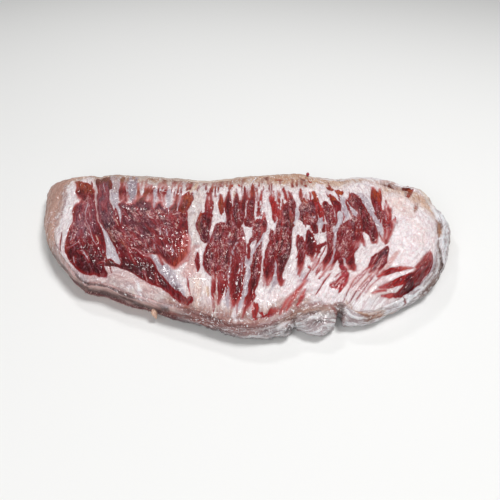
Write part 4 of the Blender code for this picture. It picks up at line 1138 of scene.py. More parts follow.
    def stain(self, x: Array, y: Array, tint: Tint) -> None:
        """Lay one soft stain.

        Args:
            x: Points' first coordinate.
            y: Points' second coordinate.
            tint: The stain.
        """
        near, share = tint.run.share(x, y)
        if tint.ground is not Ground.FAT:
            self.tinge(self.lean_tone, near, share, tint.tissue)
        if tint.ground is not Ground.LEAN:
            self.tinge(self.fat_tone, near, share, tint.tissue)

    @staticmethod
    def strongest(x: Array, y: Array, runs: tuple[Run, ...]) -> Array:
        """Read the strongest of some overlapping runs at each point.

        Args:
            x: Points' first coordinate.
            y: Points' second coordinate.
            runs: The runs.

        Returns:
            The strength at each point.
        """
        best = np.zeros(len(x))
        for run in runs:
            near, share = run.share(x, y)
            best[near] = np.maximum(best[near], share)
        return best

    def labels(self) -> Array:
        """Give each guide's place across the grain, read at the guides' middle."""
        return np.array([guide[self.guide_middle] for guide in self.grain_guides])

    def guide_lines(self, level: Array) -> Array:
        """Read where the guides of the grain lie at some heights of the map.

        Args:
            level: The heights, as second coordinates.

        Returns:
            One row for each height, with one place for each guide.
        """
        rows, share = np.array(self.grain_rows), np.linspace(0.0, 1.0, self.guide_points)
        lines = []
        for guide in self.grain_guides:
            curve = smooth_curve(np.column_stack((rows, guide)), share, self.guide_steps)
            lines.append(np.interp(level, curve[::-1, 0], curve[::-1, 1]))
        return np.stack(lines, axis=-1)

    def sprinkle(self, rules: tuple[Sprinkle, ...]) -> list[Strand]:
        """Draw seeded fine strands that follow the grain.

        Args:
            rules: What to draw, rule after rule.

        Returns:
            The strands.
        """
        label, strands = self.labels(), []
        for rule in rules:
            draw = np.random.default_rng(rule.seed)
            for _ in range(rule.count):
                top = draw.uniform(rule.low[1], rule.high[1])
                length = draw.uniform(*rule.length)
                place = draw.uniform(rule.low[0], rule.high[0])
                half = draw.uniform(*rule.half_width)
                level = top - length * np.array(self.hair_places)
                lines = self.guide_lines(level)
                start = np.interp(place, lines[0], label)
                x = np.array([np.interp(start, label, row) for row in lines])
                x += np.cumsum(draw.normal(0.0, self.hair_waver, len(x)))
                width = half * np.array(self.hair_widths)
                tissue = rule.tissues[draw.integers(len(rule.tissues))]
                strands.append(Strand(tissue, tuple(zip(x, level, width))))
        return strands

    def lay_grain(self, x: Array, y: Array) -> None:
        """Give each point its place across and along the grain, and the grain's direction.

        Args:
            x: Points' first coordinate.
            y: Points' second coordinate.
        """
        top, bottom, label = self.grain_rows[0], self.grain_rows[-1], self.labels()
        level = np.clip(y, bottom, top)

        def across(level: Array, x: Array) -> Array:
            """Read places across the grain.

            Args:
                level: Points' height on the map, between the guides' ends.
                x: Points' first coordinate.

            Returns:
                The places.
            """
            lines = self.guide_lines(level)
            slot = np.clip((x[:, None] >= lines).sum(axis=1) - 1, 0, len(label) - 2)
            pick = np.arange(len(x))
            low, high = lines[pick, slot], lines[pick, slot + 1]
            return label[slot] + (x - low) / (high - low) * (label[slot + 1] - label[slot])

        here = across(level, x)
        beside = across(level, x + self.probe) - here
        ahead = across(np.clip(level + self.probe, bottom, top), x) - here
        turn = np.column_stack((-ahead, beside))
        self.flow = turn / np.maximum(np.linalg.norm(turn, axis=1), SLOWEST)[:, None]
        self.grain = np.column_stack((here, y, np.zeros_like(x)))
        for run in self.rim_runs:
            self.follow_rim(x, y, run)

    def follow_rim(self, x: Array, y: Array, run: Path) -> None:
        """Turn the grain along a run of the rim, where the fat is drawn out beside it.

        Args:
            x: Points' first coordinate.
            y: Points' second coordinate.
            run: The run's path.
        """
        fine = smooth_curve(run, np.linspace(0.0, 1.0, self.guide_points), CURVE_STEPS)
        near = np.flatnonzero(path_reach(x, y, fine) > 0.0)
        steps = np.diff(fine[:, :2], axis=0)
        length = np.concatenate(([0.0], np.cumsum(np.linalg.norm(steps, axis=1))))
        best = np.full(len(near), np.inf)
        for i, (start, step) in enumerate(zip(fine[:-1, :2], steps)):
            span = np.linalg.norm(step)
            ahead = np.column_stack((x[near], y[near])) - start
            along = np.clip(ahead @ step / span, 0.0, span)
            off = ahead @ np.array((-step[1], step[0])) / span
            gap = np.hypot(ahead @ step / span - along, off)
            pick = gap < best
            best[pick] = gap[pick]
            chosen = near[pick]
            self.grain[chosen, 0], self.grain[chosen, 1] = off[pick], length[i] + along[pick]
            self.flow[chosen] = step / span

    def weave(self, across: Array, along: Array, step: int) -> Array:
        """Read smooth seeded noise on a lattice with one value a unit.

        Args:
            across: Places across the grain.
            along: Places along it.
            step: Added to the seed.

        Returns:
            The noise, from -1 to 1.
        """
        draw = np.random.default_rng(self.weave_seed + step)
        table = draw.uniform(-1.0, 1.0, (LATTICE, LATTICE))
        i, j = np.floor(across).astype(int), np.floor(along).astype(int)
        a, b = ease(across - i, 0.0, 1.0), ease(along - j, 0.0, 1.0)
        i, j, ahead, above = i % LATTICE, j % LATTICE, (i + 1) % LATTICE, (j + 1) % LATTICE
        near = table[i, j] * (1 - a) + table[ahead, j] * a
        far = table[i, above] * (1 - a) + table[ahead, above] * a
        return near * (1 - b) + far * b

    def waves(self, sizes: tuple[Triple, ...], first: int) -> Array:
        """Sum noise of some wave sizes over the grain.

        Args:
            sizes: Each wave's size across and along the grain, and its height.
            first: Added to the seed of the first.

        Returns:
            The sum at each point.
        """
        across, along = self.grain[:, 0], self.grain[:, 1]
        return sum(part * self.weave(across / wide, along / long, first + i)
                   for i, (wide, long, part) in enumerate(sizes))

    def frayed(self, x: Array, y: Array) -> tuple[Array, Array]:
        """Shift places along the grain, bundle by bundle, so that ends and edges fray.

        Args:
            x: Points' first coordinate.
            y: Points' second coordinate.

        Returns:
            Both coordinates of the shifted places.
        """
        loose = np.maximum(ease(x, *self.loose_right), ease(y, *self.loose_back))
        loose *= 1.0 - ease(x, *self.firm_right) * ease(y, *self.firm_front)
        self.loose = self.least_loose + (1.0 - self.least_loose) * loose
        pull = self.waves(self.pull_waves, 0) * self.fray_along * self.loose
        sway = self.waves(self.sway_waves, len(self.pull_waves))
        sway = sway * self.fray_across * (0.5 + 0.5 * self.loose)
        ahead_x, ahead_y = self.flow.T
        return x + ahead_x * pull - ahead_y * sway, y + ahead_y * pull + ahead_x * sway

    def paint(self, chart: Array, down: Array) -> "MarbleMap":
        """Work out every point's tissue.

        Args:
            chart: Places on the unrolled surface, in millimetres.
            down: How many coarse rows below the rim each point lies, 0 on the cut face.

        Returns:
            This map, filled in.
        """
        flat_x, flat_y = chart.T
        self.lean = np.full(len(chart), -self.reach_limit)
        self.lean_tone = np.tile(Tissue.LEAN.linear(), (len(chart), 1))
        self.fat_tone = np.tile(Tissue.FAT.linear(), (len(chart), 1))
        self.lay_grain(flat_x, flat_y)
        x, y = self.frayed(flat_x, flat_y)
        for muscle in self.muscles:
            ring = np.array(muscle.path + muscle.path[:1])
            share = np.linspace(0.0, 1.0, 4 * len(muscle.path))
            ring = smooth_curve(ring, share, CURVE_STEPS)[:-1]
            near = near_path(x, y, ring, self.reach_limit)
            self.add_tissue(near, closed_reach(x[near], y[near], ring), muscle.tissue)
        for strand in (*self.sprinkle(self.fine_bundles), *self.bundles):
            self.add_tissue(*self.strand_reach(x, y, strand.path), strand.tissue)
        for tint in self.stains:
            self.stain(x, y, tint)
        for strand in (*self.sprinkle(self.filaments), *self.seams):
            self.cut_seam(*self.strand_reach(x, y, strand.path), strand.tissue)
        for strand in self.islands:
            self.add_tissue(*self.strand_reach(x, y, strand.path), strand.tissue)
        self.dress_flank(flat_x, flat_y, down)
        for tint in self.marks:
            self.stain(flat_x, flat_y, tint)
        self.lean = np.clip(self.lean, -self.reach_limit, self.reach_limit)
        self.sheen = self.strongest(flat_x, flat_y, self.sheens)
        self.softness = self.strongest(flat_x, flat_y, self.soft_ends)
        self.mark_traits(flat_x, flat_y, down)
        return self

    def dress_flank(self, x: Array, y: Array, down: Array) -> None:
        """Colour the skin round the slab, with painted shade low down, and end the marbling at its
        rim.

        Args:
            x: Points' first coordinate.
            y: Points' second coordinate.
            down: How many coarse rows below the rim each point lies.
        """
        side = np.flatnonzero(down > self.flank_start)
        anchor = np.array([place[0] for _, place in self.rim_tones])
        gap = np.hypot(x[side, None] - anchor[:, 0], y[side, None] - anchor[:, 1])
        weight = 1.0 / (gap + self.tone_spread) ** 3
        weight /= weight.sum(axis=1)[:, None]
        tones = np.array([[Tissue[name].linear() for name in names] for names, _ in self.rim_tones])
        tones = np.einsum("pa,alc->plc", weight, tones)
        level = np.interp(down[side], self.rim_levels, np.arange(len(self.rim_levels)))
        first = np.minimum(level.astype(int), len(self.rim_levels) - 2)
        share = ease(level - first, *self.tone_step)[:, None]
        pick = np.arange(len(side))
        tone = tones[pick, first] + share * (tones[pick, first + 1] - tones[pick, first])
        cover = ease(down[side], *self.flank_cover)[:, None]
        self.fat_tone[side] += cover * (tone - self.fat_tone[side])
        self.lean[side] -= self.lean_drop * ease(down[side], *self.lean_end)

    def mark_traits(self, x: Array, y: Array, down: Array) -> None:
        """Mark how dried, how veined and how much like skin each point is.

        Args:
            x: Points' first coordinate.
            y: Points' second coordinate.
            down: How many coarse rows below the rim each point lies.
        """
        dried = ease(path_reach(x, y, np.array(self.dried_band)), *self.dried_soft)
        veined = ease(path_reach(x, y, np.array(self.veined_band)), *self.veined_soft)
        skin = ease(down, *self.skin_down) * ease(y, *self.skin_back) * ease(x, *self.skin_left)
        self.traits = np.column_stack((dried, veined * (1.0 - skin), skin))


@dataclass(frozen=True)
class Pattern:
    """Noise with so many waves a millimetre each way, turned from start at low to end at high."""

    scale: Triple
    detail: float = 2.0
    rough: float = 0.5
    warp: float = 0.0
    low: float = 0.0
    high: float = 1.0
    start: float = 0.0
    end: float = 1.0
    gather: float = 0.0


class Sketch:
    """Short ways to lay nodes in a tree, for materials and for geometry alike."""

    def __init__(self, tree: bpy.types.NodeTree) -> None:
        """Keep the tree that the nodes go into."""
        self.tree = tree

    def add(self, kind: str, feeds: dict | None = None, **settings: Value) -> bpy.types.Node:
        """Add a node.

        Args:
            kind: The node's type.
            feeds: What goes into its inputs, by name or number.
            **settings: The node's options.

        Returns:
            The node.
        """
        node = self.tree.nodes.new(kind)
        for name, value in settings.items():
            setattr(node, name, value)
        for key, value in (feeds or {}).items():
            if isinstance(value, Socket):
                self.tree.links.new(value, node.inputs[key])
            elif value is not None:
                plain = value.rgba() if isinstance(value, Tissue) else value
                node.inputs[key].default_value = plain
        return node

    def math(self, operation: str, a: Value, b: Value = None, c: Value = None) -> Socket:
        """Reckon with one, two or three numbers."""
        return self.add("ShaderNodeMath", {0: a, 1: b, 2: c}, operation=operation).outputs[0]

    def times(self, first: Value, *others: Value) -> Socket:
        """Multiply numbers, one after another.

        Args:
            first: The first number.
            *others: The rest.

        Returns:
            The product.
        """
        for other in others:
            first = self.math("MULTIPLY", first, other)
        return first

    def plus(self, value: Value, factor: Value, base: Value) -> Socket:
        """Multiply a number by a factor and add it to a base."""
        return self.math("MULTIPLY_ADD", value, factor, base)

    def rest(self, share: Value) -> Socket:
        """Give what a share leaves of 1."""
        return self.math("SUBTRACT", 1.0, share)

    def vector(self, operation: str, a: Value, b: Value) -> Socket:
        """Reckon with two vectors."""
        return self.add("ShaderNodeVectorMath", {0: a, 1: b}, operation=operation).outputs[0]

    def combine(self, x: Value, y: Value, z: Value) -> Socket:
        """Make a vector of three numbers."""
        return self.add("ShaderNodeCombineXYZ", {0: x, 1: y, 2: z}).outputs[0]

    def separate(self, value: Value) -> tuple[Socket, ...]:
        """Take a vector apart."""
        return tuple(self.add("ShaderNodeSeparateXYZ", {0: value}).outputs)

    def ease(self, value: Value, low: Value, high: Value, start: Value = 0.0,
             end: Value = 1.0) -> Socket:
        """Turn a number smoothly from start at low to end at high.

        Args:
            value: The number.
            low: Where the turn starts.
            high: Where it ends.
            start: The result up to low.
            end: The result from high on.

        Returns:
            The result.
        """
        return self.add("ShaderNodeMapRange", {
            "Value": value, "From Min": low, "From Max": high, "To Min": start, "To Max": end,
        }, interpolation_type="SMOOTHSTEP").outputs["Result"]

    def noise(self, place: Value, rule: Pattern) -> Socket:
        """Read a pattern's noise.

        Args:
            place: Where, in millimetres.
            rule: The pattern.

        Returns:
            The noise.
        """
        return self.add("ShaderNodeTexNoise", {
            "Vector": self.vector("MULTIPLY", place, rule.scale), "Scale": 1.0,
            "Detail": rule.detail, "Roughness": rule.rough, "Distortion": rule.warp,
        }).outputs[0]

    def pattern(self, place: Value, rule: Pattern, gather: Value = None) -> Socket:
        """Read a pattern.

        Args:
            place: Where, in millimetres.
            rule: The pattern.
            gather: Where it is gathered, if not everywhere alike.

        Returns:
            The pattern's number.
        """
        value = self.noise(place, rule)
        if gather is not None:
            value = self.plus(gather, rule.gather, value)
        return self.ease(value, rule.low, rule.high, rule.start, rule.end)

    def line(self, place: Value, rule: Pattern) -> Socket:
        """Give 1 where a pattern's noise is near its low, falling to 0 at a distance of high."""
        gap = self.math("ABSOLUTE", self.math("SUBTRACT", self.noise(place, rule), rule.low))
        return self.ease(gap, 0.0, rule.high, 1.0, 0.0)

    def spread(self, place: Value, rule: Pattern) -> Socket:
        """Read a pattern's noise round 0."""
        return self.math("SUBTRACT", self.noise(place, rule), 0.5)

    def blend(self, share: Value, under: Value, over: Value, mode: str = "MIX") -> Socket:
        """Mix two colours.

        Args:
            share: How much of the upper one shows.
            under: The lower colour.
            over: The upper one.
            mode: How they mix.

        Returns:
            The mixed colour.
        """
        feeds = {0: share, MIX_UNDER: under, MIX_OVER: over}
        mix = self.add("ShaderNodeMix", feeds, data_type="RGBA", blend_type=mode)
        return mix.outputs[MIX_RESULT]

    def shaded(self, colour: Value, tone: Triple) -> Socket:
        """Multiply a colour by a tone."""
        return self.blend(1.0, colour, (*tone, 1.0), "MULTIPLY")

    def named(self, name: str, kind: str = "Fac") -> Socket:
        """Read an attribute of the mesh in a material."""
        return self.add("ShaderNodeAttribute", attribute_type="GEOMETRY",
                        attribute_name=name).outputs[kind]

    def stored(self, name: str, kind: str = "FLOAT") -> Socket:
        """Read an attribute of the mesh in a geometry tree."""
        return self.add("GeometryNodeInputNamedAttribute", {"Name": name},
                        data_type=kind).outputs["Attribute"]

    def place(self, kind: str, output: str) -> Socket:
        """Read where a point of the piece is, in millimetres."""
        return self.vector("MULTIPLY", self.add(kind).outputs[output], (1.0 / MM,) * 3)

    def bump(self, height: Value, distance: float) -> Socket:
        """Turn a height into a normal."""
        feeds = {"Strength": 1.0, "Distance": distance, "Height": height}
        return self.add("ShaderNodeBump", feeds).outputs["Normal"]


class Finish:
    """What every finish shares: it makes one material of its name."""

    name: str

    def start(self) -> bpy.types.Material:
        """Start the material, with node shading.

        Returns:
            The material.
        """
        material = bpy.data.materials.new(self.name)
        material.use_nodes = True
        return material

    @staticmethod
    def dress(material: bpy.types.Material, **values: Value) -> bpy.types.Material:
        """Set the shader's inputs, whose names are given with underscores.

        Args:
            material: The material.
            **values: What goes into its shader's inputs.

        Returns:
            The material.
        """
        shader = material.node_tree.nodes["Principled BSDF"]
        for name, value in values.items():
            socket = shader.inputs[name.replace("_", " ")]
            if isinstance(value, Socket):
                material.node_tree.links.new(value, socket)
            else:
                socket.default_value = value
        return material


@dataclass(frozen=True)
class Readings:
    """What the slab's material reads: places, and what the meat is like there."""

    pen: Sketch
    place: Socket
    grain: Socket
    lap: Socket
    dried: Socket
    veined: Socket
    skin: Socket
    flank: Socket
    soft: Socket


@dataclass(frozen=True)
class MarbledFinish(Finish):
    """Moist cut face of cured beef: lean bundles, fat seams, dried margin and skin."""

    name: str = "marbled_beef"
    swollen: float = 0.22
    ragged: float = 0.8
    firm_share: float = 0.3
    frayed: float = 0.6
    edge_soft: float = 0.2
    melt: float = 1.0
    ragged_edge: Pattern = Pattern((0.62, 0.2, 1.0))
    frayed_edge: Pattern = Pattern((2.2, 0.5, 1.0), 2.0, 0.6)

    slow: Pattern = Pattern((0.3, 0.07, 1.0), 2.0, 0.6, 0.0, 0.35, 0.65)
    slow_tone: Triple = (0.68, 0.5, 0.6)
    streak: Pattern = Pattern((0.95, 0.14, 1.0), 3.0, 0.7, 0.5, 0.4, 0.58)
    streak_tone: Triple = (0.44, 0.26, 0.34)
    plain_dry: float = 0.75
    edge: tuple[float, ...] = (0.1, 1.5, 1.0, 0.0)
    edge_share: float = 0.35
    glow: tuple[float, ...] = (0.3, 2.2, 0.7, 0.0)
    rust: Pattern = Pattern((0.5, 0.12, 1.0), 2.0, 0.5, 0.0, 0.35, 0.6)
    rust_share: float = 0.6
    patchy: Pattern = Pattern((0.16, 0.1, 1.0), 2.0, 0.6, 0.0, 0.36, 0.6)
    patchy_share: Pair = (0.7, 0.3)
    wet_share: Pair = (0.92, 0.08)
    # Painted wet sheen: a lavender veil gathered where the sheen runs lie.
    sheen_veil: Pattern = Pattern((0.7, 0.2, 1.0), 3.0, 0.72, 0.8, 0.56, 0.68, gather=0.11)
    sheen_veil_share: float = 0.42
    # Fat specks mixed with painted wet glints, gathered where the sheen runs lie.
    speck_and_glint: Pattern = Pattern((1.0, 0.42, 1.0), 3.0, 0.75, 1.1, 0.67, 0.72, gather=0.16)
    speck_and_glint_share: float = 0.8
    # Painted shade in small pits of the lean.
    pit_shade: Pattern = Pattern((1.0, 0.5, 1.0), 3.0, 0.7, 0.5, 0.36, 0.28, 0.0, 0.85, -0.08)
    pit_shade_tone: tuple[float, ...] = (0.035, 0.002, 0.004, 1.0)
    hair: Pattern = Pattern((0.6, 0.08, 1.0), 3.0, 0.6, 0.0, 0.54, 0.02)
    hair_share: Pair = (0.3, 0.15)

    fresh_share: float = 0.6
    plain_share: float = 0.65
    cool: Pattern = Pattern((0.4, 0.1, 1.0), 3.0, 0.6, 0.0, 0.46, 0.66, 0.0, 0.42)
    fibre: Pattern = Pattern((0.8, 0.2, 1.0), 3.0, 0.68, 0.7, 0.54, 0.42)
    fibre_tone: Triple = (0.74, 0.65, 0.67)
    cloud: Pattern = Pattern((0.2,) * 3, 3.0, 0.6, 1.8, 0.54, 0.44)
    cloud_tone: Triple = (0.91, 0.84, 0.86)
    halo: tuple[float, ...] = (-0.8, -0.1, 0.0, 0.26)
    vein: Pattern = Pattern((0.3, 0.09, 1.0), 3.0, 0.6, 0.6, 0.5, 0.045)
    vein_share: float = 0.22
    sand: Pattern = Pattern((0.42, 0.06, 1.0), 3.0, 0.6, 0.5, 0.44, 0.66, 0.0, 0.7)
    brown: Pattern = Pattern((0.42, 0.13, 1.0), 4.0, 0.7, 1.2, 0.52, 0.66, 0.0, 0.75)
    # Painted highlights on the fat.
    pale: Pattern = Pattern((0.6, 0.36, 0.6), 3.0, 0.66, 1.2, 0.55, 0.66, 0.0, 0.75)
    # Painted shade in pores of the fat.
    pore_shade: Pattern = Pattern((0.8, 0.55, 0.8), 2.0, 0.7, 0.0, 0.4, 0.3, 0.0, 0.5)

    # Painted shade in the flank's folds.
    fold: Pattern = Pattern((0.08, 0.08, 0.6), 3.0, 0.65, 0.9, 0.54, 0.42)
    fold_shade_share: Pair = (0.5, 0.5)
    fold_shade_tone: Triple = (0.56, 0.46, 0.46)
    # Painted damp shine on the flank.
    shine: Pattern = Pattern((0.3, 0.3, 1.1), 3.0, 0.7, 0.6, 0.56, 0.66, 0.0, 0.7)
    shine_share: Pair = (0.9, 0.1)
    # Painted glints on the flank.
    glint_fleck: Pattern = Pattern((0.9,) * 3, 2.0, 0.7, 0.0, 0.6, 0.68, 0.0, 0.8)
    glint_fleck_share: Pair = (0.85, 0.15)
    # Painted shade in pores of the flank.
    shade: Pattern = Pattern((0.6,) * 3, 3.0, 0.7, 0.0, 0.42, 0.3, 0.0, 0.45)

    lean_rough: float = 0.46
    fat_rough: float = 0.5
    dried_rough: float = 0.12
    skin_rough: float = -0.1
    uneven: Pattern = Pattern((0.7,) * 3, 3.0, 0.6)
    uneven_share: float = 0.35

    lean_fibre: Pattern = Pattern((1.1, 0.4, 1.0), 3.0, 0.62, 0.5)
    lean_wrinkle: Pattern = Pattern((0.5, 1.0, 1.0), 2.0, 0.5, 0.3)
    lean_heights: Pair = (0.4, 0.36)
    fat_pebble: Pattern = Pattern((0.75,) * 3, 3.0, 0.62, 0.4)
    fat_streak: Pattern = Pattern((0.8, 0.2, 1.0), 3.0)
    fat_heights: Pair = (0.6, 0.35)
    skin_fold: Pattern = Pattern((0.12, 0.12, 0.9), 3.0, 0.6, 0.4)
    skin_height: float = 0.8
    dimple: Pattern = Pattern((1.0,) * 3, 2.0, 0.6)
    dimple_height: float = 0.3

    subsurface: float = 0.06
    bleed: Triple = (1.0, 0.35, 0.25)
    bleed_length: float = 0.0015
    coat: float = 0.38
    coat_rough: float = 0.12
    gloss: float = 0.12

    def build(self) -> bpy.types.Material:
        """Make the material.

        Returns:
            The material.
        """
        material = self.start()
        pen = Sketch(material.node_tree)
        at = Readings(
            pen, pen.place("ShaderNodeTexCoord", "Object"), pen.named("grain", "Vector"),
            pen.named("lap", "Vector"), *pen.separate(pen.named("traits", "Vector")),
            pen.named("flank"), pen.named("softness"))
        depth = self.depth(at)
        reach = pen.plus(at.soft, self.melt, self.edge_soft)
        lean = pen.ease(pen.math("DIVIDE", depth, reach), -1.0, 1.0)
        fat = pen.blend(at.flank, self.fat_colour(at, depth), self.flank_colour(at))
        return self.dress(
            material, Base_Color=pen.blend(lean, fat, self.lean_colour(at, depth)),
            Roughness=self.roughness(at, lean), Normal=pen.bump(self.height(at, lean), MM),
            Subsurface_Weight=self.subsurface, Subsurface_Radius=self.bleed,
            Subsurface_Scale=self.bleed_length, Coat_Weight=self.coat,
            Coat_Roughness=self.coat_rough, Specular_IOR_Level=self.gloss)

    def depth(self, at: Readings) -> Socket:
        """Reckon the depth inside the lean, with an edge frayed along the grain.

        Args:
            at: What the material reads.

        Returns:
            The depth in millimetres.
        """
        pen, firm = at.pen, self.firm_share * self.ragged
        loose = pen.plus(pen.named("loose"), self.ragged * (1.0 - self.firm_share), firm)
        swollen = pen.math("ADD", pen.named("lean"), self.swollen)
        depth = pen.plus(pen.spread(at.grain, self.ragged_edge), loose, swollen)
        return pen.plus(pen.spread(at.grain, self.frayed_edge), self.frayed, depth)

    def lean_colour(self, at: Readings, depth: Socket) -> Socket:
        """Colour the lean: dark and light fibres, a redder edge, clustered fat specks mixed with
        painted glints, a painted sheen and painted shade in pits.

        Args:
            at: What the material reads.
            depth: Depth inside the lean.

        Returns:
            The colour.
        """
        pen, grain, fresh = at.pen, at.grain, at.pen.rest(at.dried)
        sheen, plain = pen.named("sheen"), pen.named("lean_tone", "Color")
        colour = pen.blend(pen.pattern(grain, self.slow), pen.shaded(plain, self.slow_tone), plain)
        streak = pen.pattern(grain, self.streak)
        colour = pen.blend(streak, pen.shaded(colour, self.streak_tone), colour)
        colour = pen.blend(pen.times(at.dried, self.plain_dry), colour, plain)
        patchy = pen.plus(pen.pattern(grain, self.patchy), *self.patchy_share)
        gather = pen.times(pen.plus(sheen, *self.wet_share), patchy)
        for share, tone in (
            (pen.times(pen.ease(depth, *self.edge), self.edge_share, fresh), Tissue.BRIGHT),
            (pen.times(pen.ease(depth, *self.glow), at.soft, fresh), Tissue.ROSE),
            (pen.times(at.dried, pen.pattern(grain, self.rust), self.rust_share), Tissue.BROWN),
            # Painted lavender sheen, fat specks mixed with painted glints, and painted shade in
            # pits, all gathered where the sheen runs lie.
            (pen.times(pen.pattern(grain, self.sheen_veil, gather), self.sheen_veil_share), Tissue.MAUVE),
            (pen.times(pen.pattern(grain, self.speck_and_glint, gather), self.speck_and_glint_share), Tissue.PINK),
            (pen.pattern(grain, self.pit_shade, gather), self.pit_shade_tone),
            (pen.times(pen.line(grain, self.hair), pen.plus(sheen, *self.hair_share)), Tissue.ROSE),
        ):
            colour = pen.blend(share, colour, tone)
        return colour

    def fat_colour(self, at: Readings, depth: Socket) -> Socket:
        """Colour the fat: fibres of cooler and warmer white, veins, dried streaks, painted
        highlights and painted shade in pores.

        Args:
            at: What the material reads.
            depth: Depth inside the lean.

        Returns:
            The colour.
        """
        pen, grain, place, dried, veined = at.pen, at.grain, at.place, at.dried, at.veined
        colour = pen.named("fat_tone", "Color")
        fresh = pen.rest(pen.times(dried, self.fresh_share))
        plain = pen.rest(pen.times(veined, self.plain_share))
        cool = pen.times(pen.pattern(grain, self.cool), fresh, plain)
        colour = pen.blend(cool, colour, Tissue.LAVENDER)
        fibre = pen.times(pen.pattern(grain, self.fibre), plain)
        colour = pen.blend(fibre, colour, pen.shaded(colour, self.fibre_tone))
        cloud = pen.times(pen.pattern(place, self.cloud), veined)
        colour = pen.blend(cloud, colour, pen.shaded(colour, self.cloud_tone))
        for share, tissue in (
            (pen.ease(depth, *self.halo), Tissue.MAUVE),
            (pen.times(pen.line(grain, self.vein), veined, self.vein_share), Tissue.ROSE),
            (pen.times(pen.pattern(grain, self.sand), dried), Tissue.OCHRE),
            (pen.times(pen.pattern(grain, self.brown), dried), Tissue.BRONZE),
            # Painted highlights on the fat, then painted shade in its pores.
            (pen.pattern(place, self.pale), Tissue.GLEAM),
            (pen.pattern(place, self.pore_shade), Tissue.GREY_PINK),
        ):
            colour = pen.blend(share, colour, tissue)
        return colour

    def flank_colour(self, at: Readings) -> Socket:
        """Colour the flank: painted shade in folds that run round the slab, painted damp shine and
        glints, and painted shade in pores.

        Args:
            at: What the material reads.

        Returns:
            The colour.
        """
        pen, colour = at.pen, at.pen.named("fat_tone", "Color")
        # Painted shade in the folds that run round the slab.
        fold = pen.times(pen.pattern(at.lap, self.fold), pen.plus(at.skin, *self.fold_shade_share))
        colour = pen.blend(fold, colour, pen.shaded(colour, self.fold_shade_tone))
        # Painted damp shine on the flank, in the pale skin colour.
        shine = pen.times(pen.pattern(at.lap, self.shine), pen.plus(at.skin, *self.shine_share))
        colour = pen.blend(shine, colour, Tissue.PALE_SKIN)
        # Painted glints on the flank.
        glint_fleck = pen.times(pen.pattern(at.place, self.glint_fleck), pen.plus(at.skin, *self.glint_fleck_share))
        colour = pen.blend(glint_fleck, colour, Tissue.GLEAM)
        # Painted shade in the flank's pores.
        return pen.blend(pen.pattern(at.place, self.shade), colour, Tissue.SHADE)

    def roughness(self, at: Readings, lean: Socket) -> Socket:
        """Reckon the roughness: wet lean and skin, duller fat, dry margin.

        Args:
            at: What the material reads.
            lean: The share of lean.

        Returns:
            The roughness.
        """
        base = at.pen.plus(lean, self.lean_rough - self.fat_rough, self.fat_rough)
        base = at.pen.plus(at.dried, self.dried_rough, base)
        base = at.pen.plus(at.skin, self.skin_rough, base)
        return at.pen.plus(at.pen.spread(at.place, self.uneven), self.uneven_share, base)

    def height(self, at: Readings, lean: Socket) -> Socket:
        """Reckon the fine relief: fibres and wrinkles of lean, grains of fat, folds of skin.

        Args:
            at: What the material reads.
            lean: The share of lean.

        Returns:
            The height in millimetres.
        """
        pen, grain = at.pen, at.grain
        wrinkle = pen.times(pen.noise(grain, self.lean_wrinkle), self.lean_heights[1])
        meat = pen.plus(pen.noise(grain, self.lean_fibre), self.lean_heights[0], wrinkle)
        streak = pen.times(pen.noise(grain, self.fat_streak), self.fat_heights[1])
        fat = pen.plus(pen.noise(at.place, self.fat_pebble), self.fat_heights[0], streak)
        fold = pen.times(pen.noise(at.lap, self.skin_fold), at.flank)
        fat = pen.times(pen.plus(fold, self.skin_height, fat), pen.rest(lean))
        height = pen.math("ADD", pen.times(meat, lean), fat)
        return pen.plus(pen.noise(at.place, self.dimple), self.dimple_height, height)


@dataclass(frozen=True)
class ShredFinish(Finish):
    """One moist tissue with small changes of tone, for shreds, wisps and flecks."""

    name: str
    tissue: Tissue
    other: Tissue
    rough: float = 0.4
    rough_spread: float = 0.12
    tones: Pattern = Pattern((0.35,) * 3, 3.0, 0.6, 0.0, 0.35, 0.65)
    gloss: Pattern = Pattern((1.1,) * 3)
    gloss_ends: Pair = (0.2, 0.8)
    grit: Pattern = Pattern((1.6,) * 3, 3.0, 0.6)
    grit_height: float = 0.1
    coat: float = 0.2

    def build(self) -> bpy.types.Material:
        """Make the material.

        Returns:
            The material.
        """
        material = self.start()
        pen = Sketch(material.node_tree)
        place = pen.place("ShaderNodeTexCoord", "Object")
        share = pen.pattern(place, self.tones)
        rough = pen.ease(pen.noise(place, self.gloss), *self.gloss_ends,
                         self.rough - self.rough_spread, self.rough + self.rough_spread)
        return self.dress(
            material, Base_Color=pen.blend(share, self.tissue, self.other), Roughness=rough,
            Normal=pen.bump(pen.noise(place, self.grit), self.grit_height * MM),
            Coat_Weight=self.coat, Coat_Roughness=self.coat)


@dataclass(frozen=True)
class FloorFinish(Finish):
    """Plain pale floor."""

    name: str = "pale_floor"
    colour: Triple = (0.86, 0.86, 0.85)
    rough: float = 0.75
    gloss: float = 0.2

    def build(self) -> bpy.types.Material:
        """Make the material."""
        return self.dress(self.start(), Base_Color=(*self.colour, 1.0), Roughness=self.rough,
                          Specular_IOR_Level=self.gloss)


